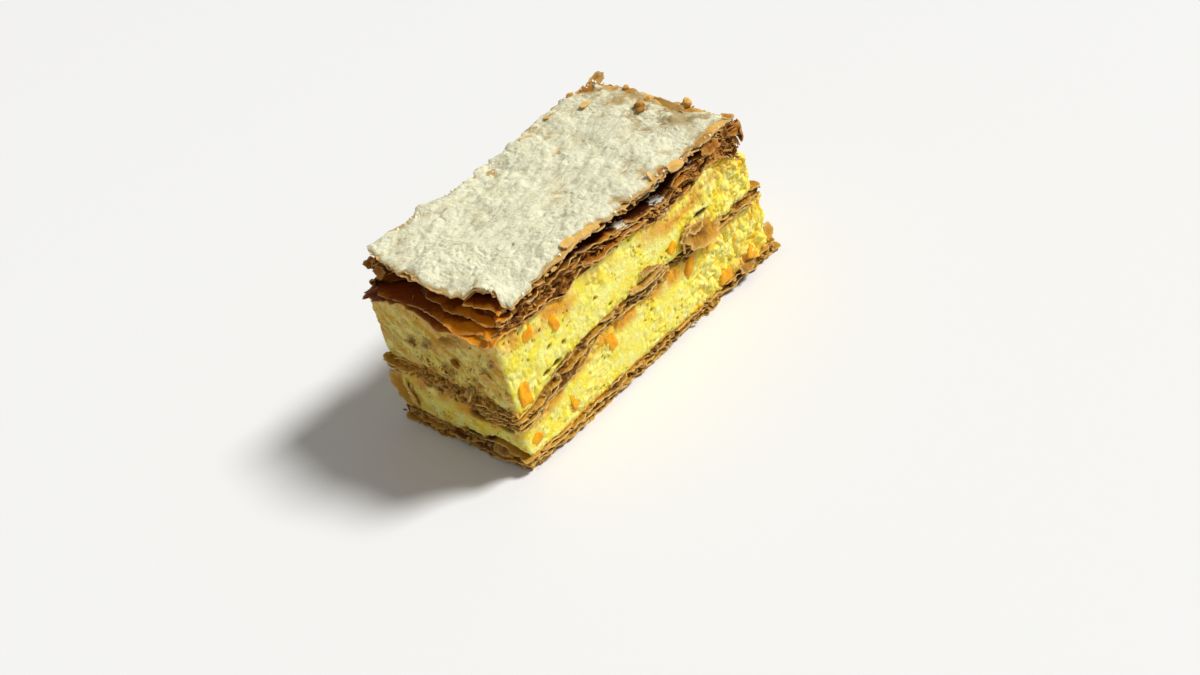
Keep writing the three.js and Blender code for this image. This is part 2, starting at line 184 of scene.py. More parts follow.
# Finishes: the stretch that draws the streaks of the baked pastry out across the slice, the thin coat
# of the glazed leaves, and the colours
STREAK_STRETCH = (1.5, 1.0, 1.0)
GLAZE_COAT = 0.06
PALE_CRUST = (0.78, 0.54, 0.18)
# Painted light: warm bounce light on the shaded near end of the top leaves, laid in as a redder golden and a
# redder deep colour
BOUNCE_GOLDEN = (0.82, 0.28, 0.006)
BOUNCE_DEEP = (0.3, 0.06, 0.003)
FALLEN_SUGAR = (0.8, 0.79, 0.66)
CREAM_PALE = (1.0, 0.98, 0.35)
CREAM_YELLOW = (1.0, 0.85, 0.055)
# The knife smear of the near end: smeared cream and pastry, darkened olive and brown with painted shade of
# that shaded end
SMEAR_PALE = (0.87, 0.75, 0.26)
SMEAR_BROWN = (0.5, 0.31, 0.045)
# Painted shade: a deep warm orange laid in the creases, folds and low parts of the cream's bump
CREAM_CREASE_SHADE = (1.0, 0.6, 0.008)
# Orange stain from the pastry, and painted shade under the overhanging sheets, at the shaded near end and
# round the facing shard
CREAM_STAIN_AND_SHADE = (0.74, 0.3, 0.008)
# Painted shade: the dark inside of pores and hollows
CREAM_PORE_SHADE = (0.14, 0.06, 0.003)
FRUIT_BRIGHT = (0.9, 0.44, 0.003)
FRUIT_DEEP = (0.74, 0.26, 0.002)
SUGAR_WHITE = (0.84, 0.83, 0.62)
SUGAR_DULL = (0.7, 0.67, 0.45)
# Pastry showing through thin sugar, and painted shade in the hollows between clumps
SUGAR_THIN_AND_SHADE = (0.52, 0.38, 0.17)
SUGAR_BARE = (0.45, 0.33, 0.15)
SUGAR_SPECK = (0.3, 0.23, 0.11)
CLUMP_WHITE = (0.84, 0.83, 0.64)

# Camera, light and floor
CAMERA_PLACE = (-179.7, -219.3, 197.2)
CAMERA_AZIMUTH = -39.18
CAMERA_ELEVATION = 35.39
CAMERA_ROLL = -15.54
CAMERA_LENS = 33.0
CAMERA_SENSOR = 36.0
CAMERA_CLIP = 0.01
FLOOR_SIZE = 6
KEY_COLOUR = (1.0, 0.99, 0.95)
FLOOR_COLOUR = (0.79, 0.8, 0.825)
SKY_COLOUR = (1.0, 0.96, 0.9)
SKY_STRENGTH = 0.29


# Curves that the shapes are made of
def ease(t):
    """A soft step, from 0 where t is 0 to 1 where it is 1."""
    c = np.clip(t, 0, 1)
    return c * c * (3 - 2 * c)


def bump(value, centre, half_width):
    """1 at the centre, falling softly to 0 at the half width on either side."""
    return 1 - ease(np.abs(value - centre) / half_width)


def plateau(value, low, high, soft):
    """1 between two values and 0 outside them, with soft ends."""
    return ease((value - low) / soft + 0.5) * ease((high - value) / soft + 0.5)


def mix(a, b, t):
    return a + (b - a) * t


# Seeded noise, from -1 to 1
def scattered(n, seed):
    s = np.sin(n * 127.1 + seed * 311.7) * 43758.5453
    return 2 * (s - np.floor(s)) - 1


def noise(x, y, size, seed):
    """Smooth noise in plan, in patches of the given size."""
    u, v = x / size, y / size
    i, j = np.floor(u), np.floor(v)
    a, b = ease(u - i), ease(v - j)

    def at(p, q):
        return scattered(p * 57 + q * 131, seed)

    return mix(mix(at(i, j), at(i + 1, j), a), mix(at(i, j + 1), at(i + 1, j + 1), a), b)


def noise3(x, y, z, size, seed):
    """Smooth noise in space, in patches of the given size."""
    u, v, w = x / size, y / size, z / size
    i, j, k = np.floor(u), np.floor(v), np.floor(w)
    a, b, c = ease(u - i), ease(v - j), ease(w - k)

    def at(p, q, r):
        return scattered(p * 57 + q * 131 + r * 313, seed)

    def sheet(r):
        near = mix(at(i, j, r), at(i + 1, j, r), a)
        far = mix(at(i, j + 1, r), at(i + 1, j + 1, r), a)
        return mix(near, far, b)

    return mix(sheet(k), sheet(k + 1), c)


def cells(x, y, z, size, seed):
    """Distance to the nearest of many scattered points, in cells, and a number for that point."""
    u, v, w = x / size, y / size, z / size
    i, j, k = np.floor(u), np.floor(v), np.floor(w)
    nearest = np.full(u.shape, 9.0)
    number = np.zeros(u.shape)
    for di in (-1, 0, 1):
        for dj in (-1, 0, 1):
            for dk in (-1, 0, 1):
                n = (i + di) * 57 + (j + dj) * 131 + (k + dk) * 313
                px = i + di + 0.5 + 0.45 * scattered(n, seed)
                py = j + dj + 0.5 + 0.45 * scattered(n, seed + 0.37)
                pz = k + dk + 0.5 + 0.45 * scattered(n, seed + 0.71)
                distance = np.sqrt((u - px) ** 2 + (v - py) ** 2 + (w - pz) ** 2)
                closer = distance < nearest
                nearest = np.where(closer, distance, nearest)
                number = np.where(closer, scattered(n, seed + 0.93), number)
    return nearest, number


def ripples(x, y, seed):
    return noise(x, y, 9, seed) + 0.6 * noise(x, y, 3.6, seed + 1) + 0.3 * noise(x, y, 1.5, seed + 2)


def always(value):
    """A height, reach or chance that is the same everywhere."""
    return lambda x, y, *others: value + 0 * x


def raised(height, by):
    """The height of a face, raised by so many mm, or lowered."""
    return lambda x, y: height(x, y) + by


# Heights of the faces where the layers meet
def bottom_top(x, y):
    return BOTTOM_SHEET + 0.5 * noise(x, y, 17, 3)


def middle_base(x, y):
    rise = ease((x + 54) / 36)
    across_near_end = (1 - rise) * MIDDLE_TILT * (y / 54 + 0.5)
    return MIDDLE_LOW + (MIDDLE_HIGH - MIDDLE_LOW) * rise + across_near_end + 0.6 * noise(x, y, 19, 5)


def middle_top(x, y):
    return middle_base(x, y) + MIDDLE_SHEET


def near_side(y):
    """1 along the near side, and 0 from the middle on."""
    return ease((-y - 12) / 14)


def near_end(x):
    """1 along the near end, and 0 further in."""
    return ease((-x - 38) / 14)


def top_base(x, y):
    """The underside of the top stack, which arches up over the near side and hangs at the far end."""
    arched_up = 3.2 * bump(x, 36, 13) * bump(y, -27, 30)
    hangs_down = 3.6 * ease((x - 41) / 12)
    return TOP_SHEET_BASE + arched_up - hangs_down + 0.7 * noise(x, y, 16, 9)


def hang(x, y):
    """How the lowest leaves of the top stack ride up and down along the two near sides."""
    ups = 1.0 * bump(x, -52, 6) + 1.8 * bump(x, -20, 8) + 1.2 * bump(x, -5, 8)
    downs = 1.9 * bump(x, -30, 6) + 1.4 * bump(x, 13, 11)
    arch = 2.0 * bump(y, 8, 17) - 0.5 * bump(y, -20, 12)
    return (ups - downs) * near_side(y) + arch * near_end(x)


def curl(x, y):
    """The rise of the sugared leaf towards the far corner at the back."""
    return 4.2 * ease((x + 4) / 56) * ease((y + 30) / 62)


def sugar_top(x, y):
    """The sugared leaf before its fine relief: it droops at the corner where the two near sides meet."""
    droop = 3.2 * (1 - ease((x + 46) / 26)) * (1 - ease((y + 30) / 30))
    edge = 0.9 * ease((-y - 17) / 12)
    return SUGAR_LEAF - droop + curl(x, y) - edge + 0.55 * noise(x, y, 11, 21) + 0.3 * noise(x, y, 5, 22)


# Outlines in plan
def outline(corners, step, softness=1.5):
    """Points round four corners at an even step, with soft corners, and the way out at each."""
    points = []
    for a, b in zip(corners, corners[1:] + corners[:1]):
        a, b = np.array(a), np.array(b)
        count = int(round(np.linalg.norm(b - a) / step))
        points.append(a + (b - a) * (np.arange(count) / count)[:, None])
    line = np.concatenate(points)
    reach = max(1, int(round(softness / step)))
    line = sum(np.roll(line, k, axis=0) for k in range(-reach, reach + 1)) / (2 * reach + 1)
    along = np.roll(line, -1, axis=0) - np.roll(line, 1, axis=0)
    along /= np.linalg.norm(along, axis=1)[:, None]
    return line, np.stack([along[:, 1], -along[:, 0]], axis=1)


def inward(edge):
    """The way in from each point of an edge, and the point of the middle line that it ends on."""
    x = np.clip(edge[:, 0], SPINE_CENTRE - SPINE_HALF, SPINE_CENTRE + SPINE_HALF)
    x = SPINE_STEP * np.round(x / SPINE_STEP)
    spine = np.stack([x, np.zeros(len(x))], axis=1)
    way = spine - edge
    return way / np.linalg.norm(way, axis=1)[:, None], spine


# How squarely the way out points to each of the four sides: 1 along it, and 0 past its corners
def squarely(share):
    return ease((share - 0.6) / 0.3)


def at_near_end(out):
    return squarely(-out[:, 0])


def at_far_end(out):
    return squarely(out[:, 0])


def at_near_side(out):
    return squarely(-out[:, 1])


def at_far_side(out):
    return squarely(out[:, 1])


# Making meshes
def deselect():
    bpy.ops.object.select_all(action="DESELECT")


def in_frame(point):
    """A point of the slice in the frame's metres."""
    return Vector([p + shift for p, shift in zip(point, SHIFT)]) * MM


def laid_grid(name, rows, values, ring=True):
    """A grid laid out as rows of points: closed rings round the slice, or open rows."""
    row_count, point_count = rows.shape[:2]
    columns, lines = point_count if ring else point_count - 1, row_count - 1
    deselect()
    bpy.ops.mesh.primitive_grid_add(x_subdivisions=columns, y_subdivisions=lines, size=2)
    piece = bpy.context.active_object
    piece.name = name
    mesh = piece.data
    mesh.name = name
    co = np.zeros(len(mesh.vertices) * 3)
    mesh.vertices.foreach_get("co", co)
    co = co.reshape(-1, 3)
    i = np.rint((co[:, 0] + 1) / 2 * columns).astype(int) % point_count
    j = np.rint((co[:, 1] + 1) / 2 * lines).astype(int)
    placed = (rows[j, i] + SHIFT) * MM
    mesh.vertices.foreach_set("co", placed.ravel())
    for key, value in values.items():
        stored = mesh.attributes.new(key, "FLOAT", "POINT")
        stored.data.foreach_set("value", value[j, i].astype(np.float32))
    mesh.update()
    clean(piece)
    return piece


class Rows:
    """Rows of points round the slice, with the values that a material reads at them."""

    def __init__(self, *keys):
        self.points = []
        self.values = {key: [] for key in keys}

    def add(self, place, z, **given):
        """One more row, where a value that isn't given is 0."""
        self.points.append(np.column_stack([place, z]))
        for key, kept in self.values.items():
            kept.append(given.get(key, 0) + 0 * z)

    def laid(self, name):
        values = {key: np.array(kept) for key, kept in self.values.items()}
        return laid_grid(name, np.array(self.points), values)


def clean(piece):
    """Merge the points that lie on one another, and turn all faces outwards."""
    bpy.context.view_layer.objects.active = piece
    bpy.ops.object.mode_set(mode="EDIT")
    bpy.ops.mesh.select_all(action="SELECT")
    bpy.ops.mesh.remove_doubles(threshold=WELD)
    bpy.ops.mesh.normals_make_consistent(inside=False)
    bpy.ops.object.mode_set(mode="OBJECT")


def apply(piece, kind, **settings):
    modifier = piece.modifiers.new(kind.title(), kind)
    for key, value in settings.items():
        setattr(modifier, key, value)
    bpy.context.view_layer.objects.active = piece
    bpy.ops.object.modifier_apply(modifier=modifier.name)


def join(name, pieces):
    deselect()
    for piece in pieces:
        piece.select_set(True)
    bpy.context.view_layer.objects.active = pieces[0]
    bpy.ops.object.join()
    whole = bpy.context.active_object
    whole.name = name
    whole.data.name = name
    return whole


def finish_piece(piece, material, replaces=None, angle=60):
    """Give a piece its material and smooth shading, its body, and the node it replaces."""
    piece.data.materials.clear()
    piece.data.materials.append(material)
    deselect()
    piece.select_set(True)
    bpy.context.view_layer.objects.active = piece
    bpy.ops.object.shade_smooth_by_angle(angle=math.radians(angle))
    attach(piece, "root")
    if replaces:
        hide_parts(replaces)


def add_object(name, data):
    made = bpy.data.objects.new(name, data)
    bpy.context.scene.collection.objects.link(made)
    return made


# Nodes of materials
MIX_A, MIX_B, MIX_RESULT = 6, 7, 2  # the sockets that a Mix node uses for colours


def node(tree, kind, **settings):
    made = tree.nodes.new(kind)
    for key, value in settings.items():
        setattr(made, key, value)
    return made


def connect(tree, value, socket):
    """Link a socket to another, or give it a value: a number, a vector or a colour."""
    if isinstance(value, bpy.types.NodeSocket):
        tree.links.new(value, socket)
    elif socket.type == "RGBA":
        socket.default_value = (*value, 1.0)
    else:
        socket.default_value = value


def feed(tree, made, values):
    for key, value in values.items():
        connect(tree, value, made.inputs[key])
    return made


def math_node(tree, operation, a, b):
    made = node(tree, "ShaderNodeMath", operation=operation)
    return feed(tree, made, {0: a, 1: b}).outputs[0]


def plus(tree, a, b):
    return math_node(tree, "ADD", a, b)


def times(tree, a, b):
    return math_node(tree, "MULTIPLY", a, b)


def layered(tree, colour, *layers):
    """A colour with others laid over it in turn, each as far as its own factor says."""
    for factor, over in layers:
        made = node(tree, "ShaderNodeMix", data_type="RGBA")
        feed(tree, made, {"Factor": factor, MIX_A: colour, MIX_B: over})
        colour = made.outputs[MIX_RESULT]
    return colour


def ranged(tree, value, low, high, to_low=0.0, to_high=1.0):
    made = node(tree, "ShaderNodeMapRange", interpolation_type="SMOOTHSTEP")
    for socket, item in zip(made.inputs, (value, low, high, to_low, to_high)):
        connect(tree, item, socket)
    return made.outputs[0]


def noise_node(tree, place, scale, detail, roughness=0.6, distortion=0.0):
    """Noise with about so many patches to a metre, and with the given detail and roughness."""
    made = node(tree, "ShaderNodeTexNoise")
    feed(tree, made, {
        "Vector": place,
        "Scale": scale,
        "Detail": detail,
        "Roughness": roughness,
        "Distortion": distortion,
    })
    return made.outputs["Fac"]


def bumped(tree, height, distance, strength=0.8):
    values = {"Strength": strength, "Distance": distance, "Height": height}
    return feed(tree, node(tree, "ShaderNodeBump"), values).outputs["Normal"]


def object_place(tree):
    return node(tree, "ShaderNodeTexCoord").outputs["Object"]


def attribute(tree, name):
    return node(tree, "ShaderNodeAttribute", attribute_name=name).outputs["Fac"]


# Shader groups that more than one material uses
def group(name, inputs, outputs):
    """A new group, with the name and kind of each socket, and its two end nodes."""
    tree = bpy.data.node_groups.new(name, "ShaderNodeTree")
    for in_out, sockets in (("INPUT", inputs), ("OUTPUT", outputs)):
        for key, kind in sockets.items():
            tree.interface.new_socket(name=key, in_out=in_out, socket_type=f"NodeSocket{kind}")
    return tree, tree.nodes.new("NodeGroupInput"), tree.nodes.new("NodeGroupOutput")


def place_group(tree, source, values):
    return feed(tree, node(tree, "ShaderNodeGroup", node_tree=source), values)


def make_bake_group():
    """Baked pastry: golden with deep patches and streaks across the slice, and pale torn rims."""
    tree, given, out = group(
        "bake_tone",
        {"Pale": "Color", "Golden": "Color", "Deep": "Color", "Rim": "Float", "Shade": "Float"},
        {"Color": "Color", "Height": "Float", "Roughness": "Float"},
    )
    golden, deep, pale = (given.outputs[key] for key in ("Golden", "Deep", "Pale"))
    place = object_place(tree)
    stretched = node(tree, "ShaderNodeVectorMath", operation="MULTIPLY")
    feed(tree, stretched, {0: place, 1: STREAK_STRETCH})
    patches = noise_node(tree, place, 150.0, 5.0, 0.65)
    flecks = noise_node(tree, place, 900.0, 4.0, 0.65)
    streaks = noise_node(tree, stretched.outputs[0], 430.0, 5.0, 0.75, 0.8)
    # The Shade input pulls the colour towards deep: random tone, and on some leaves and walls painted shade
    patchy = plus(tree, patches, times(tree, given.outputs["Shade"], 0.3))
    colour = layered(
        tree, golden,
        (ranged(tree, patchy, 0.38, 0.74), deep),
        (ranged(tree, streaks, 0.53, 0.72, 0.0, 0.55), deep),
        (times(tree, given.outputs["Rim"], ranged(tree, flecks, 0.3, 0.6, 0.4, 1.0)), pale),
    )
    height = plus(tree, times(tree, flecks, 0.8), times(tree, streaks, 0.8))
    roughness = ranged(tree, streaks, 0.4, 0.7, 0.4, 0.75)
    feed(tree, out, {"Color": colour, "Height": height, "Roughness": roughness})
    return tree


def make_grain_group():
    """Fine grain: a height of small crumbs with pores between them."""
    tree, given, out = group("crumb_grain", {"Scale": "Float", "Pore": "Float"}, {"Height": "Float"})
    place = object_place(tree)
    scale = given.outputs["Scale"]
    fine = noise_node(tree, place, scale, 5.0, 0.7)
    cell = node(tree, "ShaderNodeTexVoronoi", feature="F1")
    feed(tree, cell, {"Vector": place, "Scale": scale})
    pores = ranged(tree, cell.outputs["Distance"], 0.0, given.outputs["Pore"], 1.0, 0.0)
    feed(tree, out, {"Height": math_node(tree, "SUBTRACT", fine, times(tree, pores, 0.25))})
    return tree


BAKE = make_bake_group()
GRAIN = make_grain_group()


# Materials
def new_material(name):
    material = bpy.data.materials.new(name)
    material.use_nodes = True
    tree = material.node_tree
    return material, tree, tree.nodes["Principled BSDF"]


def powdered(tree, colour):
    """Icing sugar that has fallen in flecks where the powder attribute allows it."""
    flecks = noise_node(tree, object_place(tree), 520.0, 5.0, 0.75)
    above = plus(tree, flecks, times(tree, attribute(tree, "powder"), 0.35))
    return layered(tree, colour, (ranged(tree, above, 0.7, 0.8), FALLEN_SUGAR))


def pastry_material(name, pale, golden, deep, relief, glazed_with_bounce=False):
    """Baked pastry. A glazed one has painted warm bounce light that makes it redder at the near end, and
    sugar has fallen on it.
    """
    material, tree, shader = new_material(name)
    # Painted warm bounce light at the near end
    if glazed_with_bounce:
        golden = layered(tree, golden, (attribute(tree, "bounce_glow"), BOUNCE_GOLDEN))
        deep = layered(tree, deep, (attribute(tree, "bounce_glow"), BOUNCE_DEEP))
    tone = place_group(tree, BAKE, {
        "Pale": pale,
        "Golden": golden,
        "Deep": deep,
        "Rim": attribute(tree, "rim"),
        "Shade": attribute(tree, "shade"),
    })
    colour = tone.outputs["Color"]
    feed(tree, shader, {
        "Base Color": powdered(tree, colour) if glazed_with_bounce else colour,
        "Normal": bumped(tree, tone.outputs["Height"], relief),
        "Roughness": tone.outputs["Roughness"],
        "Specular IOR Level": 0.12,
        "Coat Weight": GLAZE_COAT if glazed_with_bounce else 0.0,
        "Coat Roughness": 0.2,
    })
    return material


def cream_material():
    material, tree, shader = new_material("vanilla_cream")
    place = object_place(tree)
    grain = place_group(tree, GRAIN, {"Scale": 1500.0, "Pore": 0.34})
    uneven = noise_node(tree, place, 620.0, 6.0, 0.75, 0.8)
    drift = ranged(tree, noise_node(tree, place, 220.0, 6.0, 0.75), 0.36, 0.64)
    tint = ranged(tree, noise_node(tree, place, 300.0, 5.0, 0.7, 1.2), 0.4, 0.62)
    # Painted shade: the low parts of the bump noise, and the creases, take the deep orange crease colour
    fine = times(tree, ranged(tree, uneven, 0.34, 0.52, 1.0, 0.0), 0.6)
    creased = times(tree, attribute(tree, "open"), 0.9)
    colour = layered(
        tree, CREAM_PALE,
        (drift, CREAM_YELLOW),
        # The near end's smear, with painted shade
        (attribute(tree, "smear"), layered(tree, SMEAR_PALE, (tint, SMEAR_BROWN))),
        (math_node(tree, "MAXIMUM", creased, fine), CREAM_CREASE_SHADE),
        (attribute(tree, "stain"), CREAM_STAIN_AND_SHADE),
        (attribute(tree, "pore"), CREAM_PORE_SHADE),
    )
    relief = plus(tree, times(tree, uneven, 2.2), grain.outputs["Height"])
    feed(tree, shader, {
        "Base Color": colour,
        "Normal": bumped(tree, relief, 0.00036),
        "Roughness": 0.45,
        "Specular IOR Level": 0.22,
        "Subsurface Weight": 0.4,
        "Subsurface Radius": (1.0, 0.75, 0.1),
        "Subsurface Scale": 0.0008,
    })
    return material


def fruit_material():
    material, tree, shader = new_material("candied_fruit")
    place = object_place(tree)
    tone = ranged(tree, noise_node(tree, place, 420.0, 4.0), 0.35, 0.7)
    feed(tree, shader, {
        "Base Color": layered(tree, FRUIT_BRIGHT, (tone, FRUIT_DEEP)),
        "Normal": bumped(tree, noise_node(tree, place, 1100.0, 4.0), 0.0002),
        "Roughness": 0.38,
        "Specular IOR Level": 0.2,
        "Subsurface Weight": 0.3,
        "Subsurface Radius": (1.0, 0.35, 0.05),
        "Subsurface Scale": 0.002,
    })
    return material


def sugar_material():
    material, tree, shader = new_material("icing_sugar")
    place = object_place(tree)
    grain = place_group(tree, GRAIN, {"Scale": 1700.0, "Pore": 0.25})
    uneven = noise_node(tree, place, 640.0, 6.0, 0.75, 0.3)
    specks = ranged(tree, noise_node(tree, place, 760.0, 5.0, 0.75, 1.0), 0.6, 0.67)
    colour = layered(
        tree, SUGAR_DULL,
        (ranged(tree, noise_node(tree, place, 340.0, 6.0, 0.8), 0.34, 0.56), SUGAR_WHITE),
        # Tan where the sugar is thin, and painted shade in the hollows between its clumps
        (ranged(tree, attribute(tree, "cover"), 0.0, 0.55, 1.0, 0.0), SUGAR_THIN_AND_SHADE),
        (attribute(tree, "grey"), SUGAR_BARE),
        (times(tree, specks, 0.7), SUGAR_SPECK),
    )
    lift = plus(tree, times(tree, uneven, 4.0), grain.outputs["Height"])
    feed(tree, shader, {
        "Base Color": colour,
        "Normal": bumped(tree, lift, 0.00018, 1.0),
        "Roughness": 0.9,
        "Specular IOR Level": 0.2,
    })
    return material


def clump_material():
    material, tree, shader = new_material("sugar_clump")
    grain = noise_node(tree, object_place(tree), 2000.0, 3.0)
    feed(tree, shader, {"Base Color": CLUMP_WHITE, "Normal": bumped(tree, grain, 0.0003), "Roughness": 0.9})
    return material


PASTRY = pastry_material("baked_pastry", PALE_CRUST, (0.54, 0.265, 0.02), (0.15, 0.045, 0.003), 0.0007)
CRUMBLY = pastry_material("crumbly_pastry", PALE_CRUST, (0.46, 0.2, 0.015), (0.1, 0.026, 0.002), 0.0009)
TOP_PASTRY = pastry_material(
    "top_pastry", (0.7, 0.43, 0.13), (0.43, 0.15, 0.009), (0.05, 0.008, 0.001), 0.0005, glazed_with_bounce=True
)
TOP_CRUMBLY = pastry_material(
    "top_crumbly_pastry", (0.62, 0.34, 0.08), (0.34, 0.11, 0.007), (0.02, 0.003, 0.001), 0.0009
)
SUGARED_PASTRY = pastry_material(
    "sugared_leaf", (0.68, 0.47, 0.2), (0.72, 0.43, 0.1), (0.28, 0.1, 0.012), 0.0002
)
CREAM = cream_material()
FRUIT = fruit_material()
SUGAR = sugar_material()
SUGAR_CLUMP = clump_material()


# Pastry leaves
def torn(x, y, seed):
    """A ragged edge: how far it is pushed out, in mm, with a bite torn out here and there."""
    rough = 0.5 * noise(x, y, 8, seed) + 0.4 * noise(x, y, 2.9, seed + 1) + 0.36 * noise(x, y, 1.1, seed + 2)
    return rough - 1.5 * ease((noise(x, y, 3.4, seed + 3) - 0.45) / 0.35)


def strays(seed, depth, size=13.0):
    """A leaf that dips in behind its neighbours here and there, so that leaves seem to merge."""

    def reach(x, y, out):
        return -depth * ease(0.5 + 1.4 * noise(x, y, size, seed))

    return reach


def leaf(name, corners, height, seed, reach, wave=0.3, droop=0.5, crimp=0.3, thick=0.34, shade=0.0,
         tone=always(0), powder=always(0), insets=LEAF_INSETS):
    """One baked leaf: a thin wavy sheet with a torn edge that runs through the slice."""
    line, out = outline(corners, LEAF_STEP)
    lx, ly = line.T
    push = torn(lx, ly, seed) + reach(lx, ly, out)
    edge = line + out * push[:, None]
    way, spine = inward(edge)
    bend = droop * noise(lx, ly, 8, seed + 8)
    crimped = crimp * (noise(lx, ly, 2.3, seed + 9) + 0.6 * noise(lx, ly, 1.1, seed + 10))
    places = [(edge + way * inset, inset) for inset in insets]
    places += [(edge + (spine - edge) * share, HALF_WIDTH * share) for share in DEEP_SHARES]
    rows = Rows("rim", "shade", "powder", "bounce_glow")
    for place, inset in places:
        x, y = place.T
        z = height(x, y) + wave * ripples(x, y, seed + 5)
        z = z + bend * math.exp(-inset / DROOP_REACH) + crimped * math.exp(-inset / CRIMP_REACH)
        rows.add(
            place, np.maximum(z, 0.6 * thick),
            rim=math.exp(-inset / RIM_REACH),
            shade=shade + 0.8 * noise(x, y, 9, seed + 11) + tone(x, y, inset),
            powder=powder(x, y),
            # How far the painted warm bounce light of the near end reaches
            bounce_glow=ease((-x - 43) / 5),
        )
    piece = rows.laid(name)
    apply(piece, "SOLIDIFY", thickness=thick * MM, offset=0.0)
    return piece


def wall(name, corners, low, high, seed, inset, rows_up, hollowed=0.0, slope=0.0, pale_end=0.0):
    """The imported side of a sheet, which shows between its leaves: ribs, strata and cavities."""
    line, out = outline(corners, WALL_STEP)
    lx, ly = line.T
    _, spine = inward(line)
    bottom, top = low(lx, ly), high(lx, ly)
    set_back = inset(lx, ly, out) + 0.7 * noise(lx, ly, 7, seed)
    rows = Rows("rim", "shade")
    rows.add(spine, low(*spine.T))
    for level in np.linspace(0, 1, rows_up):
        z = mix(bottom, top, level)
        ribs = 0.3 * noise3(lx, ly, 0.3 * z, 0.65, seed + 1)
        strata = 0.42 * noise3(0.3 * lx, 0.3 * ly, z, 0.7, seed + 2)
        near, number = cells(lx / 3.2, ly / 3.2, z, 1.15, seed + 3)
        cavity = ease((0.46 - near) / 0.2) * ease((number + hollowed) / 0.2)
        push = ribs + strata - set_back - 2.4 * cavity - slope * level
        rim = ease((ribs + strata) / 0.5) * (1 - cavity)
        # The cavities are darkened with painted shade; pale_end makes the near end paler
        shade = 0.2 + cavity - pale_end * at_near_end(out)
        rows.add(line + out * push[:, None], z, rim=rim, shade=shade)
    rows.add(spine, high(*spine.T))
    return rows.laid(name)


def parting(x, y, size, seed):
    """Where two leaves part: 1 in scattered lens-shaped openings, and 0 between them."""
    return ease((noise(x, y, size, seed) + 0.1) / 0.6)


def make_bottom_pastry():
    """Five leaves, each at its share of the sheet's height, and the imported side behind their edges."""
    shares = [0.07, 0.28, 0.5, 0.74, 0.96]

    def lifted(x, y):
        """The place at the near end where the highest leaf has come up."""
        return 2.6 * bump(y, -17, 10) * ease((-x - 48) / 6)

    def one_leaf(k, share):
        dips = strays(500 + k, 1.5)

        def height(x, y):
            opened = 0.5 * parting(x, y, 9, 520 + k) * share
            return share * bottom_top(x, y) + opened + (lifted(x, y) if share == shares[-1] else 0)

        def reach(x, y, out):
            """A tongue of pastry runs out at the far end."""
            tongue = at_far_end(out) * (5.0 * bump(y, -22, 12) + 1.5 * bump(y, 13, 11))
            return dips(x, y, out) + tongue * (1.0 - 0.16 * k)

        rough = 0.06 + 0.3 * share
        return leaf(f"bottom_leaf_{k}", BOTTOM_CORNERS, height, 110 + 17 * k, reach,
                    wave=rough, droop=0.1 + 0.5 * share, crimp=rough)

    leaves = [one_leaf(k, share) for k, share in enumerate(shares)]
    side = wall("bottom_wall", BOTTOM_CORNERS, always(0.2), raised(bottom_top, -0.2), 91,
                always(1.4), rows_up=14)
    finish_piece(join("bottom_sheet", leaves), PASTRY, "bottom_pastry")
    finish_piece(side, CRUMBLY)


def make_middle_pastry():
    """Four leaves between the creams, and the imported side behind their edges."""

    def sag(x, y):
        """The lower leaves sag into the cream along the near side."""
        return -1.5 * bump(x, -33, 17) * near_side(y)

    def missing(x, y, out):
        """A stretch of the near side has broken away."""
        return 3.5 * at_near_side(out) * bump(x, 14, 5)

    def one_leaf(k, share):
        dips = strays(600 + k, 1.7, 8.0)

        def height(x, y):
            opened = 0.7 * parting(x, y, 10, 620 + k) * (share - 0.4)
            return middle_base(x, y) + share * MIDDLE_SHEET + sag(x, y) * (1 - share) + opened

        def reach(x, y, out):
            overhang = 2.0 * at_near_end(out) * bump(y, 23, 11) * (1 - 0.2 * k)
            return dips(x, y, out) - missing(x, y, out) + overhang + 0.3

        return leaf(f"middle_leaf_{k}", MIDDLE_CORNERS, height, 210 + 17 * k, reach,
                    wave=0.36, droop=0.6, crimp=0.36, tone=lambda x, y, inset: -0.9 * near_end(x))

    leaves = [one_leaf(k, share) for k, share in enumerate([0.0, 0.3, 0.62, 1.0])]
    side = wall("middle_wall", MIDDLE_CORNERS, lambda x, y: middle_base(x, y) + sag(x, y),
                raised(middle_top, -0.1), 92, lambda x, y, out: 1.1 + missing(x, y, out), rows_up=15,
                hollowed=0.1, pale_end=0.9)
    finish_piece(join("middle_sheet", leaves), PASTRY, "middle_pastry")
    finish_piece(side, CRUMBLY)


def stack_height(count):
    """The height of one leaf of the top stack, worked out from all those below it."""

    def height(x, y):
        z = top_base(x, y) + hang(x, y) * (1 - count / HANG_FADE)
        for k in range(count + 1):
            z = z + STACK_STEPS[k] + STACK_OPENINGS[k] * parting(x, y, 10 + k, 760 + k)
        swell = 0.45 * count * ease((x - 34) / 10)
        room = 1.2 + 0.4 * (len(STACK_STEPS) - 1 - count)
        return np.minimum(z + swell, sugar_top(x, y) - room)

    return height


def under_the_sugar(x):
    """The stretch of the near side where the sugared leaf stands clear over a deep dark gap."""
    return plateau(x, -25, 33, 8)


def bowed(y):
    """How far the near end of the sugared leaf bows out."""
    v = (y - BOW_CENTRE) / BOW_HALF
    return BOW * np.clip(1 - v * v, 0, 1)


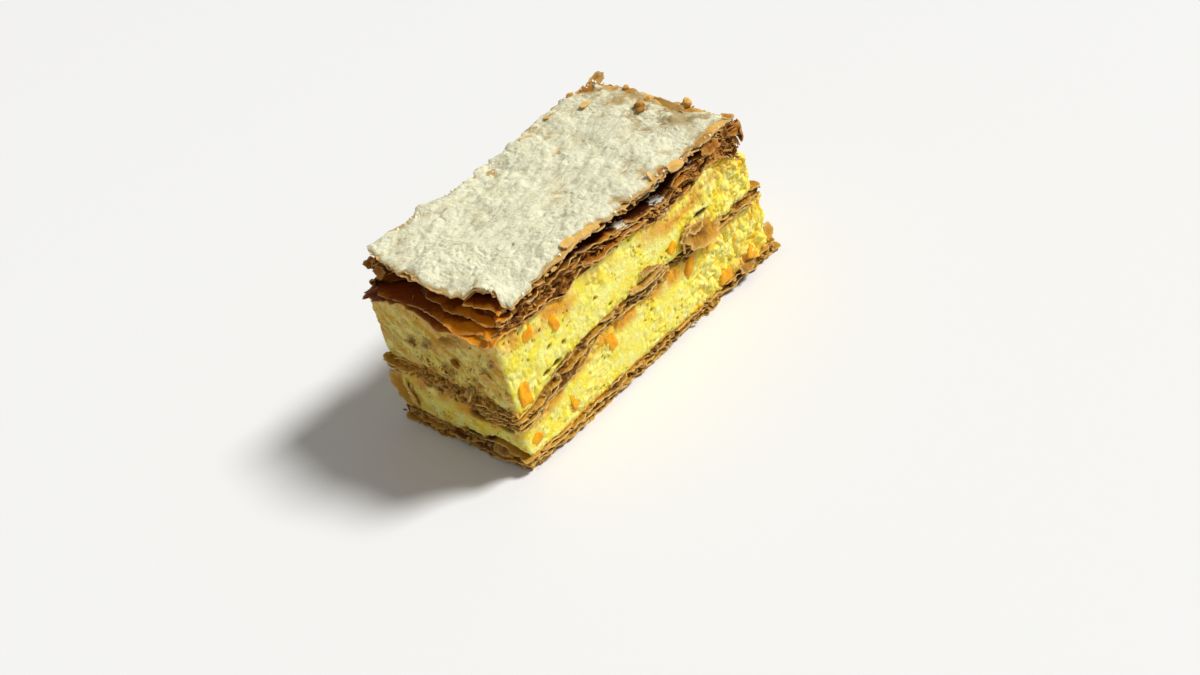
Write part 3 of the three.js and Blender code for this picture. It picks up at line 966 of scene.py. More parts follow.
def make_top_stack():
    """Six leaves over the upper cream. The first functions say how far each reaches past its outline."""

    def cut_corner(y, out):
        return 2.8 * at_near_end(out) * ease((y - 19) / 7)

    def brim(x, y, out):
        return -0.2 + strays(700, 0.7)(x, y, out) - cut_corner(y, out)

    def brim_upper(x, y, out):
        return strays(701, 2.0)(x, y, out) - 0.6 * at_near_end(out) - cut_corner(y, out)

    def wavy(x, y, out):
        hidden = -6.0 * at_near_end(out) * ease((y - 1) / 5)
        return strays(702, 1.5)(x, y, out) + hidden + 0.8 * at_near_end(out) * noise(x, y, 7, 712)

    def packed(x, y, out):
        return strays(703, 2.2)(x, y, out) - 9.0 * at_near_end(out) * ease((y + 27) / 6)

    def inner(x, y, out):
        back = 3.4 * under_the_sugar(x) * at_near_side(out)
        return strays(704, 1.6)(x, y, out) - back - 10.0 * at_near_end(out) * ease((y + 27) / 6)

    def tongue(x, y, out):
        back = (1.0 + 6.0 * under_the_sugar(x)) * at_near_side(out)
        shown = plateau(y, NOTCH_PLACE - 7, NOTCH_PLACE + 7, 4)
        hidden = strays(705, 2.0)(x, y, out) - back - 9.0 * at_near_end(out)
        return mix(hidden, (bowed(y) - 2.6) * at_near_end(out), shown)

    def powder(x, y):
        """Where sugar has fallen on the leaves along the near side."""
        spots = bump(x, -2, 7) + bump(x, 14, 6) + 0.7 * bump(x, -40, 5) + 0.6 * bump(x, 30, 5)
        return spots * bump(y, -25, 5)

    def darker_inside(k):
        """Painted shade and light: the leaves darken inwards under the leaf above, more in the gap under the
        sugared leaf and at the shaded near end, and painted light makes them golden along the edge at the
        right of the near end.
        """
        start = 3.5 - 0.7 * k

        def tone(x, y, inset):
            # Painted light along the near end's edge, and painted shade in the dark gap under the sugared
            # leaf
            golden = near_end(x) * bump(y, -19, 12) * (1 - ease((inset - start) / 2.5))
            gap_shade = under_the_sugar(x) * near_side(y) * ease((inset - 0.8) / 2)
            return 0.9 * ease(inset / 6) + 0.8 * gap_shade + 0.5 * near_end(x) - 2.8 * golden

        return tone

    def set_back(x, y, out):
        return 0.4 + at_near_end(out) * (2.0 + 6.0 * bump(y, -10, 9) + 6.0 * bump(y, 15, 11))

    # From the lowest leaf up: name, corners, reach, wave, droop and shade
    stack = [
        ("brim_leaf", BRIM_CORNERS, brim, 0.24, 0.6, 0.0),
        ("brim_upper_leaf", BRIM_CORNERS, brim_upper, 0.26, 0.7, -0.1),
        ("wavy_leaf", SECOND_CORNERS, wavy, 0.3, 0.9, 0.1),
        ("packed_leaf", SECOND_CORNERS, packed, 0.34, 0.7, 0.0),
        ("inner_leaf", THIRD_CORNERS, inner, 0.36, 0.7, 0.3),
        ("tongue_leaf", THIRD_CORNERS, tongue, 0.22, 0.2, 0.2),
    ]
    leaves = [
        leaf(name, corners, stack_height(k), 310 + 17 * k, reach, wave=wave, droop=droop, crimp=0.42,
             shade=shade, tone=darker_inside(k), powder=powder)
        for k, (name, corners, reach, wave, droop, shade) in enumerate(stack)
    ]
    side = wall("top_wall", SECOND_CORNERS, lambda x, y: top_base(x, y) + 0.3 * hang(x, y),
                raised(stack_height(PACKED_LEAF), -0.1), 93, set_back, rows_up=28, slope=1.6)
    low, high = leaves[:PACKED_LEAF + 1], leaves[PACKED_LEAF + 1:]
    finish_piece(join("top_stack_low", low), TOP_PASTRY, "top_pastry")
    finish_piece(join("top_stack_high", high), TOP_PASTRY)
    finish_piece(side, TOP_CRUMBLY)


# The sugared leaf
def sugared_surface(x, y):
    """The lifted leaf, uneven all over, with a bubble that has broken open at the near end."""
    arch = plateau(y, NOTCH_PLACE - 4.7, NOTCH_PLACE + 4.3, 3.4) * (1 - BUBBLE_TILT * (y - NOTCH_PLACE))
    bubble = BUBBLE_RISE * arch * ease((-x - 41) / 7)
    relief = 0.36 * noise(x, y, 7.3, 23) + 0.3 * noise(x, y, 3.4, 24)
    return sugar_top(x, y) - 0.45 + bubble + relief + 0.14 * ripples(x, y, 407)


def sugared_reach(x, y, out):
    """The bowed near end, bitten back at the bubble, and the torn tips at the far side."""
    notch = NOTCH_DEPTH * ease((NOTCH_HALF - np.abs(y - NOTCH_PLACE)) / 1.8)
    tips = 3.2 * bump(x, -24.5, 5.5) - 2.0 * bump(x, -16, 6)
    return at_near_end(out) * (bowed(y) - notch) + at_far_side(out) * tips


def make_sugared_leaf():
    def upper_surface(x, y):
        """The leaf sinks away from under the sugar, except near its edge, where it shows bare."""
        from_edge = np.minimum(np.minimum(x + 53.5, 52 - x), np.minimum(y + 28, 30 - y))
        return sugared_surface(x, y) - 1.3 * ease((from_edge - 4.8) / 3)

    def under(x, y):
        return sugared_surface(x, y) - 0.7 - 0.5 * parting(x, y, 8, 433) - 0.5 * ease((x - 25) / 20)

    def under_reach(x, y, out):
        hidden = 3.0 * at_near_end(out) * bump(y, NOTCH_PLACE, 9)
        return sugared_reach(x, y, out) + strays(801, 1.6, 7.0)(x, y, out) - 0.2 - hidden

    upper = leaf("sugared_leaf_top", SUGARED_CORNERS, upper_surface, 402, sugared_reach,
                 wave=0.0, droop=0.0, crimp=0.0, thick=LEAF_THICK,
                 insets=LEAF_INSETS[:-2] + [4.4, 5.7, 7.2, 9.5])
    lower = leaf("sugared_leaf_under", SUGARED_CORNERS, under, 431, under_reach,
                 wave=0.2, droop=0.3, shade=0.5)
    finish_piece(join("lifted_leaf", [upper, lower]), SUGARED_PASTRY)


def sugar_cover(x, y, inset):
    """How thickly the icing sugar lies, from below 0 where the leaf is bare to about 1."""
    widest = 0.3 + 3.4 * bump(x, -20, 17) + 1.9 * ease((x - 2) / 14)
    near_margin = widest * plateau(x, -36, 48, 12) * bump(y, -28, 12) * (1 + 0.8 * noise(x, y, 6, 54))
    far_margin = 2.6 * ease((x - 38) / 8) * (1 + noise(x, y, 4, 55))
    end_margin = 0.5 * ease((-x - 44) / 4) * (1 + 0.9 * noise(x, y, 3.4, 53)) * (1 - bump(y, -15, 7))
    from_edge = inset - np.maximum(np.maximum(near_margin, far_margin), end_margin)
    cover = 0.82 + 0.2 * noise(x, y, 12, 56) + 0.22 * noise(x, y, 4, 57) - 0.3 * ease((x - 34) / 12)
    ragged = 0.6 * noise(x, y, 1.6, 58)
    return cover * ease((from_edge + ragged) / 3.0 + 0.4) - 0.12


def make_sugar():
    """Icing sugar: a clumpy coat that lies on the leaf and dips into it where the pastry shows bare."""
    line, out = outline(SUGARED_CORNERS, SUGAR_STEP)
    lx, ly = line.T
    push = torn(lx, ly, 402) + sugared_reach(lx, ly, out)
    heaped = at_far_side(out) * (0.5 + 1.1 * noise(lx, ly, 3.6, 59) + 0.6 * noise(lx, ly, 1.5, 65))
    edge = line + out * (push + heaped)[:, None]
    _, spine = inward(edge)
    length = np.linalg.norm(spine - edge, axis=1)
    rows = Rows("cover", "grey")

    def add(share, lift_of):
        place = edge + (spine - edge) * share
        x, y = place.T
        lift, cover = lift_of(x, y, length * share)
        bare = bump(x, 40, 17) * bump(y, -4, 18) + 0.95 * ease((x - 33) / 12)
        patchy = ease(0.5 + noise(x, y, 3, 60) + 0.6 * noise(x, y, 1.2, 62))
        grey = 0.9 * np.clip(bare, 0, 1) * patchy
        rows.add(place, sugared_surface(x, y) + lift, cover=cover, grey=grey)

    def underside(x, y, inset):
        return -0.1, 0

    def heap(x, y, inset):
        cover = sugar_cover(x, y, inset)
        u, v = x + 1.1 * noise(x, y, 3.1, 63), y + 1.1 * noise(x, y, 3.1, 64)
        large, large_number = cells(u, v, 0 * x, 3.4, 50)
        small, small_number = cells(u, v, 0 * x, 1.5, 51)
        mounds = 0.5 * noise(x, y, 5.2, 52) + 1.7 * (0.5 - large) * (0.5 + 0.5 * large_number)
        clumps = mounds + 1.0 * (0.5 - small) * (0.5 + 0.5 * small_number) + 0.16 * noise(x, y, 0.8, 61)
        lift = 0.5 * LEAF_THICK + 0.1 + np.maximum(0, 0.8 * cover + 1.1 * clumps * np.clip(cover, 0.15, 1))
        # The colour's cover value falls in the hollows between the clumps too: thinner sugar there, with
        # painted shade
        return np.where(cover > 0, lift, 0.5 * LEAF_THICK - 0.15 + 2 * cover), cover + 0.5 * clumps

    for share in (1.0, 0.5, 0.03):
        add(share, underside)
    for share in np.linspace(0, 1, SUGAR_ROWS):
        add(share, heap)
    finish_piece(rows.laid("icing_sugar"), SUGAR, angle=80)


# The cream
def hollow(x, y, z, hollows):
    """How far each point sinks into the hollows, in mm."""
    depth = 0 * x
    for (cx, cy, cz), half_width, half_height, deep in hollows:
        across = np.hypot(x - cx, y - cy) / half_width
        away = np.hypot(across, (z - cz) / half_height)
        depth = np.maximum(depth, deep * ease((1.25 - away) / 0.5))
    return depth


def cream_relief(x, y, z, seed, curdled, smooth):
    """How far the torn cream stands out at points of its side, and where painted shade goes: in its creases
    and folds, and in its pores.
    """
    bent = 0.9 * noise3(x, y, z, 2.6, seed + 11)
    u, v, w = x + bent, y - bent, z + bent
    rough = ease(0.5 + 1.2 * noise3(x, y, z, 8, seed + 10)) * (1 - smooth)
    broad = 0.45 * noise3(x, y, z, 10, seed) + 0.2 * noise3(u, v, w, 4.6, seed + 8)

    def curds(size, number):
        """Rounded curds with sharp creases between them: how far they stand out, and the creases."""
        n = np.abs(noise3(u, v, w, size, seed + number))
        return 2 * n - 0.6, ease((0.15 - n) / 0.14)

    def streak(length, size, number):
        """Noise drawn out along the way that the knife went."""
        return noise3(x, (0.8 * y + 0.6 * z) / length, 0.8 * z - 0.6 * y, size, seed + number)

    large, large_crease = curds(3.9, 1)
    middling, crease = curds(1.9, 2)
    small, small_crease = curds(1.0, 3)
    torn_up = curdled * (0.65 * large + 0.55 * middling + 0.45 * small)
    even = mix(0.08, 0.36, rough) * middling + mix(0.08, 0.3, rough) * small
    hole, chosen = cells(u, v, w, 1.0, seed + 5)
    clustered = noise3(x, y, z, 5, seed + 12) + 0.4 * chosen + 0.2 * rough
    pore = ease((0.32 + 0.1 * chosen - hole) / 0.16) * ease((clustered - 0.48) / 0.15)
    folds = bump(streak(5, 3.0, 13), 0.0, 0.12)
    smears = smooth * (0.5 * streak(4, 1.5, 7) + 0.5 * streak(3, 3, 9) - 0.7 * folds)
    push = broad + torn_up + (1 - curdled) * even + smears - 0.5 * pore
    fine_creases = 0.5 * rough * crease + mix(0.15, 0.4, rough) * small_crease
    creased = np.maximum(large_crease, 0.8 * crease) * curdled + fine_creases
    # Painted shade in the creases, and in the folds of the smears
    opened = creased * (1 - 0.5 * smooth) + 0.6 * smooth * folds
    return push, np.clip(opened, 0, 1), pore * mix(1.0, 0.3, curdled)


def cream_layer(name, corners, floor, roof, seed, look, hollows, node_name, rows_up):
    """A layer of cream between two sheets: torn and porous at its sides, closed over and under."""
    line, out = outline(corners, CREAM_STEP, CREAM_SOFTNESS)
    _, spine = inward(line)
    lx, ly = line.T
    low, high = floor(lx, ly), roof(lx, ly)
    rows = Rows("open", "pore", "stain", "smear")

    def cap(share, height):
        place = line + (spine - line) * share
        rows.add(place, height(*place.T))

    def side(level):
        z = mix(low, high, level)
        curdled, smooth, stain = look(lx, ly, z, out, low, high)
        push, opened, pore = cream_relief(lx, ly, z, seed, curdled, smooth)
        sunk = hollow(lx, ly, z, hollows)
        rounded = 0.7 * (2 * abs(level - 0.5)) ** 8
        place = line + out * (push - sunk - rounded - 0.2)[:, None]
        # Painted shade: the pores and the hollows are darkened
        dark = np.clip(pore + 0.6 * sunk, 0, 1)
        rows.add(place, z, open=opened, pore=dark, stain=stain, smear=smooth * at_near_end(out))

    for share in CAP_SHARES:
        cap(share, floor)
    for level in np.linspace(0, 1, rows_up):
        side(level)
    for share in reversed(CAP_SHARES):
        cap(share, roof)
    finish_piece(rows.laid(name), CREAM, node_name, angle=80)


def make_lower_cream():
    def look(x, y, z, out, low, high):
        curdled = 0.9 * ease((x - 5) / 25) + 0.4 * at_far_side(out)
        smooth = 0.12 * at_near_end(out)
        patchy = ease(0.75 + 0.9 * noise3(x, y, z, 4, 75))
        # Stain from the pastry with painted shade, in a band under the sheet above; stain only just over the
        # sheet below
        under_sheet = ease((6.4 - (high - z)) / 4.0) * (1 - 0.6 * ease((x - 10) / 20))
        over_sheet = ease((2.0 - (z - low)) / 1.8)
        # At the near end, which lies in shade: stain and painted warm shade
        end_stain = 0.5 * at_near_end(out) * ease(1.8 * noise3(x, y, z, 2.6, 76) + 0.1)
        corner = at_near_side(out) * bump(x, 46, 14) * ease((12 - z) / 6)
        sheets = np.maximum(np.maximum(under_sheet, over_sheet), corner)
        stain = np.maximum(0.9 * sheets * patchy, end_stain)
        return np.clip(curdled, 0, 1), smooth, stain

    cream_layer("lower_cream_layer", LOWER_CREAM_CORNERS, raised(bottom_top, -0.3),
                raised(middle_base, 0.3), 71, look, LOWER_HOLLOWS, "lower_cream", rows_up=54)


def make_upper_cream():
    def look(x, y, z, out, low, high):
        curdled = 0.75 * ease((x - 18) / 18) + 0.4 * at_far_side(out)
        corner = at_near_side(out) * bump(x, -38, 13) * (1 - ease((z - 31) / 6))
        smooth = np.clip(0.75 * at_near_end(out) + 0.4 * corner, 0, 1)
        patchy = ease(0.75 + 0.9 * noise3(x, y, z, 4.5, 85))
        streak = np.clip(1.3 * bump(x, -38, 18) + bump(x, 22, 26) + 0.25, 0, 1)
        # Stain from the pastry with painted shade, in a band under the overhanging stack
        under_stack = 0.95 * ease((8.4 - (high - z)) / 4.4) * patchy * streak
        streaky = noise3(x, (0.8 * y + 0.6 * z) / 3, 0.8 * z - 0.6 * y, 2.2, 86)
        # At the shaded near end: stain and painted warm shade
        end_stain = 0.5 * at_near_end(out) * ease(1.9 * streaky - 0.2 + 0.4 * ease((-y - 8) / 16))
        # Painted shade round the facing shard
        shade_round_shard = 0.6 * at_near_side(out) * bump(x, 25, 13) * bump(z, 28, 7)
        stain = np.maximum(np.maximum(under_stack, end_stain), shade_round_shard)
        return np.clip(curdled, 0, 1), smooth, stain

    cream_layer("upper_cream_layer", UPPER_CREAM_CORNERS, raised(middle_top, -0.3),
                lambda x, y: top_base(x, y) + hang(x, y) + 0.5, 81, look, UPPER_HOLLOWS, "upper_cream",
                rows_up=56)


# Fruit dice
def die(name, size, place, turn, seed):
    """One die of fruit: a cube with uneven corners, softened and cut flat like the face round it."""
    deselect()
    bpy.ops.mesh.primitive_cube_add(size=1)
    piece = bpy.context.active_object
    piece.name = name
    bpy.ops.object.mode_set(mode="EDIT")
    bpy.ops.transform.vertex_random(offset=FRUIT_UNEVEN, seed=seed)
    bpy.ops.mesh.bevel(offset=FRUIT_SOFTENED, segments=3, affect="EDGES")
    bpy.ops.mesh.subdivide(number_cuts=2)
    bpy.ops.transform.vertex_random(offset=FRUIT_PITTED, seed=seed + 1)
    bpy.ops.transform.resize(value=Vector(size) * MM, center_override=(0, 0, 0))
    bpy.ops.transform.rotate(value=turn, orient_axis="Y", center_override=(0, 0, 0))
    sunk = [math.copysign(FRUIT_SUNK, p) if abs(p) > start else 0 for p, start in zip(place, FACE_STARTS)]
    bpy.ops.transform.translate(value=in_frame([p - s for p, s in zip(place, sunk)]))
    bpy.ops.object.mode_set(mode="OBJECT")
    return piece


def make_fruit(name, dice, seed):
    pieces = [die(f"{name}_{k}", *item, seed + 2 * k) for k, item in enumerate(dice)]
    finish_piece(join(name, pieces), FRUIT, angle=40)


# Broken pieces of pastry
FACING = {
    "flat": Matrix.Identity(3),
    "side": Matrix(((1, 0, 0), (0, 0, -1), (0, 1, 0))),
    "end": Matrix(((0, 0, -1), (-1, 0, 0), (0, 1, 0))),
}


def plate(name, size, place, facing, tilt, seed, bend=0.8, thick=0.5, shade=0.0, jagged=0.1, count=None):
    """A broken piece of leaf: an uneven plate with a torn outline, wavy and a little bent."""
    count = count or int(max(size) * PLATE_POINTS_PER_MM) + PLATE_FEWEST_POINTS
    u, v = np.meshgrid(np.linspace(-1, 1, count), np.linspace(-1, 1, count))
    angle = np.arctan2(v, u)
    radius = np.maximum(np.abs(u), np.abs(v))
    c, s = np.cos(angle), np.sin(angle)
    rounded = radius / np.maximum(np.hypot(u, v), 1e-6)
    tear = 1.0 + 0.16 * noise(2 * c, 2 * s, 1.0, seed) + jagged * noise(7 * c, 7 * s, 1.0, seed + 1)
    tear = mix(1.0, tear * mix(1.0, rounded, 0.6), radius)
    x = size[0] / 2 * u * tear
    y = size[1] / 2 * v * tear
    z = bend * noise(x + 9 * seed, y, 6.5, seed) + 0.25 * bend * noise(x, y + 5 * seed, 2.0, seed + 2)
    turn = FACING[facing]
    for lean, axis in zip(reversed(tilt), "ZYX"):
        turn = turn @ Matrix.Rotation(lean, 3, axis)
    rows = np.stack([x, y, z], axis=2) @ np.array(turn).T + np.array(place)
    inset = (1 - radius) * min(size) / 2
    values = {"rim": np.exp(-inset / PLATE_RIM_REACH), "shade": shade + 0.6 * noise(x, y, 5, seed + 3)}
    piece = laid_grid(name, rows, values, ring=False)
    apply(piece, "SOLIDIFY", thickness=thick * MM, offset=0.0)
    return piece


def make_shards():
    """The larger broken pieces that show in the long face and at the near end."""
    pieces = [
        plate("facing_shard", (17, 8), (26.0, -28.3, 28.6), "side", (-0.25, 0.0, -0.2), 21, bend=0.9,
              thick=0.8, shade=-0.1, jagged=0.07),
        plate("facing_shard_upper", (7, 4.5), (24.0, -28.2, 31.8), "side", (-0.6, 0.2, -0.1), 5, shade=0.5),
        plate("facing_shard_left", (5, 7), (19.4, -28.2, 29.0), "side", (0.2, 0.4, -0.2), 6, shade=0.4),
        plate("small_shard_low", (16, 3.6), (1.5, -27.3, 26.8), "flat", (0.3, 0.04, 0.0), 8, shade=0.6),
        plate("small_shard_middle", (13, 3.4), (2.5, -27.1, 28.2), "flat", (0.4, -0.05, 0.0), 9, shade=0.5),
        plate("small_shard_high", (9, 3.2), (3.5, -27.0, 29.6), "flat", (0.5, 0.04, 0.1), 19, shade=0.6),
        plate("hanging_flake", (5.5, 13), (-55.9, 23.0, 11.6), "end", (0.1, 0.3, 0.25), 10, bend=1.3,
              shade=-1.2, jagged=0.16),
        plate("hanging_flake_middle", (4.5, 12), (-56.4, 20.0, 11.0), "end", (0.0, -0.4, 0.2), 11, bend=1.3,
              shade=-1.2, jagged=0.16),
        plate("hanging_flake_inner", (4, 9.5), (-55.6, 17.0, 10.8), "end", (0.1, 0.5, 0.15), 13, shade=-1.2),
        plate("lifted_flake", (8, 4), (-55.4, -17.0, 4.8), "end", (-0.7, 0.1, 0.1), 12, shade=0.4),
        plate("tongue_shard", (7, 5), (57.6, -23.0, 8.6), "side", (0.2, 0.3, 0.9), 14, shade=-2.0),
        plate("tongue_tip", (6, 4.6), (60.6, -24.4, 6.2), "side", (-0.2, 0.3, 0.7), 17, shade=-2.0),
        plate("bottom_lump", (8, 4.0), (44.5, -27.7, 4.6), "side", (-0.7, 0.1, 0.1), 18, shade=0.6),
        plate("side_flake_low", (2, 6), (54.6, -24.0, 22.0), "side", (0.1, 0.4, 0.3), 15, thick=0.4),
        plate("side_flake_high", (1.6, 5), (52.8, -24.0, 35.5), "side", (0.1, 0.4, 0.2), 16, thick=0.4),
    ]
    finish_piece(join("broken_shards", pieces), PASTRY)


def make_stack_curls():
    """Curled bits of leaf in the crumbly far end of the top stack, and at its corner of the near end."""
    # Size, place, facing and tilt
    curls = [
        ((10, 4.5), (43.0, -27.0, 47.6), "side", (-0.7, 0.1, 0.1)),
        ((8, 4.0), (47.5, -27.2, 50.4), "side", (-0.4, -0.2, -0.2)),
        ((6, 4.5), (50.6, -26.0, 48.4), "side", (0.5, 0.7, 0.5)),
        ((6, 3.5), (50.8, -25.6, 45.4), "side", (-0.6, 0.6, -0.4)),
        ((7, 3.6), (37.5, -27.2, 50.2), "side", (-0.9, 0.1, 0.1)),
        ((4.5, 3.4), (-50.0, 24.0, 51.4), "end", (-0.5, 0.3, 0.3)),
        ((4.0, 3.0), (-50.6, 20.6, 50.0), "end", (-0.7, -0.4, -0.3)),
        ((3.6, 3.0), (-49.0, 27.0, 50.4), "end", (0.4, 0.7, 0.5)),
    ]
    pieces = [
        plate(f"curl_{k}", *curl_shape, 80 + 3 * k, bend=1.8, thick=0.4, shade=-0.8, jagged=0.14)
        for k, curl_shape in enumerate(curls)
    ]
    finish_piece(join("stack_curls", pieces), TOP_CRUMBLY)


def make_fragments():
    """Brown fragments that lie in the smeared cream of the near end."""
    # Size, place and tilt
    fragments = [
        ((2.4, 5.0), (-55.4, 11.0, 32.0), (0.5, 0.6, -0.2)),
        ((2.6, 3.2), (-55.2, -8.0, 31.0), (0.6, -0.6, 0.4)),
        ((2.0, 2.6), (-55.0, -24.0, 36.0), (0.4, 0.7, 0.1)),
        ((5.4, 2.4), (-55.6, -10.5, 39.4), (-0.8, 0.2, -0.2)),
        ((4.5, 2.8), (-55.8, 4.0, 22.0), (-0.9, 0.2, -0.3)),
        ((4.2, 3.0), (-55.8, -12.0, 22.5), (-0.4, -0.8, -0.4)),
        ((3.4, 2.2), (-55.4, -4.0, 27.5), (0.5, 0.4, -0.5)),
        ((3.0, 2.0), (-55.4, -16.0, 27.0), (-0.6, 0.3, 0.3)),
        ((2.2, 3.6), (-55.2, -20.0, 31.0), (0.4, 0.6, 0.3)),
        ((3.0, 1.8), (-55.5, 2.0, 34.5), (-0.5, 0.5, -0.3)),
    ]
    pieces = [
        plate(f"fragment_{k}", size, place, "end", tilt, 40 + 3 * k, bend=2.4, shade=0.1, jagged=0.18)
        for k, (size, place, tilt) in enumerate(fragments)
    ]
    finish_piece(join("cream_fragments", pieces), PASTRY)


def on_the_leaf(x, y, lift):
    return x, y, float(sugared_surface(x, y)) + lift


def make_top_bits():
    """Bits of leaf that stand up out of the sugar, and patches that the sugar leaves bare."""
    # Size, place with the height over the leaf, tilt and shade
    bits = {
        "raised_strip": ((16.0, 3.4), (46.6, -4.4, 0.9), (-0.6, 0.0, 1.35), 0.0),
        "curled_tip": ((7.0, 4.0), (50.6, 28.0, 0.3), (0.3, -0.45, -0.3), 0.2),
        "corner_leaf": ((5.0, 4.0), (49.6, -25.0, 0.0), (0.2, 0.1, 0.6), 0.0),
        "near_edge_bit": ((2.2, 3.0), (12.6, -25.7, 0.9), (1.0, 0.2, 0.3), -0.3),
        "near_edge_leaf": ((6.0, 3.2), (21.6, -27.4, 0.2), (0.4, 0.1, 0.1), 0.0),
        "golden_patch": ((5.4, 2.8), (-21.5, -25.8, 0.3), (0.2, 0.0, 0.2), -1.6),
        "far_edge_patch_a": ((5.0, 2.6), (36.1, 19.5, 0.7), (0.1, 0.1, 0.4), -0.6),
        "far_edge_patch_b": ((6.0, 2.6), (28.6, 27.4, 0.6), (-0.2, 0.1, 0.1), -0.6),
        "far_edge_patch_c": ((5.0, 2.6), (15.2, 26.4, 0.6), (-0.2, 0.1, -0.2), -0.6),
    }
    pieces = [
        plate(name, size, on_the_leaf(*place), "flat", tilt, 60 + k, bend=0.7, thick=0.35, shade=shade)
        for k, (name, (size, place, tilt, shade)) in enumerate(bits.items())
    ]
    finish_piece(join("top_bits", pieces), SUGARED_PASTRY)


# Crumbs, flakes and clumps of sugar
def lump(name, seed, rough, subdivisions):
    """A small uneven lump, 1 mm across."""
    deselect()
    bpy.ops.mesh.primitive_ico_sphere_add(subdivisions=subdivisions, radius=0.5 * MM)
    piece = bpy.context.active_object
    piece.name = name
    bpy.ops.object.mode_set(mode="EDIT")
    bpy.ops.mesh.select_all(action="SELECT")
    bpy.ops.transform.vertex_random(offset=rough * MM, seed=seed)
    bpy.ops.object.mode_set(mode="OBJECT")
    return piece


def flakes(name, count, seed):
    return [
        plate(f"{name}_{k}", FLAKE_SIZE, AT_ORIGIN, "flat", (0, 0, 0), seed + 5 * k, bend=1.2, thick=0.26,
              jagged=0.16, count=FLAKE_POINTS)
        for k in range(count)
    ]


def copied(name, shapes, spots):
    """One piece out of small shapes, each modelled once and copied, each copy with its own mesh."""
    copies = []
    for k, (place, turn, size, shade) in enumerate(spots):
        mesh = shapes[k % len(shapes)].data.copy()
        mesh.transform(Matrix.LocRotScale(in_frame(place), turn, Vector((size, size, size))))
        if "shade" in mesh.attributes:
            rim = np.zeros(len(mesh.vertices), dtype=np.float32)
            mesh.attributes["rim"].data.foreach_get("value", rim)
            mesh.attributes["rim"].data.foreach_set("value", FLAKE_RIM * rim)
            mesh.attributes["shade"].data.foreach_set("value", np.full(len(rim), shade))
        copies.append(add_object(f"{name}_{k}", mesh))
    for shape in shapes:
        bpy.data.objects.remove(shape)
    return join(name, copies)


def any_turn(random, lean):
    turn = (random.uniform(-lean, lean), random.uniform(-lean, lean), random.uniform(0, math.tau))
    return Euler(turn).to_quaternion()


def edge_spots(corners, count, seed, chance, low, high, proud, sizes, lean=0.7, shades=(-0.5, 0.7)):
    """Random spots along an edge: a place, a turn, a size and a shade for each.

    chance says how likely each stretch of the edge is. A spot lies between two heights, and stands
    proud of the edge by a distance in the given range. Its size and shade are in a range as well.
    """
    random = np.random.default_rng(seed)
    line, out = outline(corners, SPOT_STEP)
    weight = chance(line[:, 0], line[:, 1], out)
    spots = []
    for k in random.choice(len(line), count, p=weight / weight.sum()):
        x, y = line[k] + out[k] * random.uniform(*proud)
        z = mix(low(x, y), high(x, y), random.random())
        turn = any_turn(random, lean)
        spots.append(((x, y, z), turn, random.uniform(*sizes), random.uniform(*shades)))
    return spots


def make_stack_flakes():
    def low(x, y):
        return top_base(x, y) + 0.6 * hang(x, y) + 0.6

    def chance(x, y, out):
        return 0.4 + 0.3 * at_near_side(out) + at_far_end(out) - 0.37 * at_near_end(out)

    def far_end(x, y, out):
        return HARDLY_EVER + ease((x - 38) / 8) * (1 - at_far_side(out))

    def left_corner(x, y, out):
        return HARDLY_EVER + at_near_end(out) * bump(y, 22, 5)

    spots = edge_spots(SECOND_CORNERS, 340, 31, chance, low, stack_height(PACKED_LEAF),
                       proud=(-0.9, 0.5), sizes=(0.3, 0.75), lean=0.9, shades=(-1.0, 0.6))
    spots += edge_spots(SECOND_CORNERS, 260, 32, far_end, low, raised(sugar_top, -1.2),
                        proud=(-1.6, 0.8), sizes=(0.4, 1.05), lean=1.2, shades=(-1.5, 0.6))
    spots += edge_spots(SUGARED_CORNERS, 14, 33, left_corner, always(50.2), always(52.6),
                        proud=(0.2, 2.4), sizes=(0.5, 1.0), lean=0.9, shades=(-1.2, 0.4))
    whole = copied("stack_flakes", flakes("stack_flake", 5, 200), spots)
    finish_piece(whole, TOP_PASTRY)


def make_sheet_flakes():
    def chance(x, y, out):
        return 0.5 + 1.6 * at_near_end(out) * ease((12 - y) / 14)

    def crumbled(x, y, out):
        return HARDLY_EVER + at_near_end(out) * ease((14 - y) / 10)

    spots = edge_spots(MIDDLE_CORNERS, 260, 34, chance, middle_base, middle_top,
                       proud=(-0.9, 0.4), sizes=(0.25, 0.6))
    spots += edge_spots(MIDDLE_CORNERS, 190, 35, crumbled, raised(middle_base, -0.5),
                        raised(middle_top, 1.8), proud=(-1.1, 0.1), sizes=(0.3, 0.7), lean=1.4,
                        shades=(-2.4, 0.4))
    spots += edge_spots(UPPER_CREAM_CORNERS, 90, 40, crumbled, middle_top, raised(middle_top, 8.0),
                        proud=(-0.5, 0.2), sizes=(0.2, 0.6), lean=1.4, shades=(-2.4, 0.4))
    spots += edge_spots(BOTTOM_CORNERS, 190, 36, always(1), always(1.2), bottom_top,
                        proud=(-0.9, 0.3), sizes=(0.25, 0.6))
    whole = copied("sheet_flakes", flakes("sheet_flake", 5, 300), spots)
    finish_piece(whole, PASTRY)


def make_rim_flakes():
    def chance(x, y, out):
        return 1 + at_far_end(out) + at_near_end(out) * ease((x + 52) / 3)

    spots = edge_spots(SUGARED_CORNERS, 150, 37, chance, raised(sugared_surface, -1.5),
                       raised(sugared_surface, -0.2), proud=(-0.8, 0.3), sizes=(0.25, 0.65), lean=0.5)
    whole = copied("rim_flakes", flakes("rim_flake", 4, 400), spots)
    finish_piece(whole, SUGARED_PASTRY)


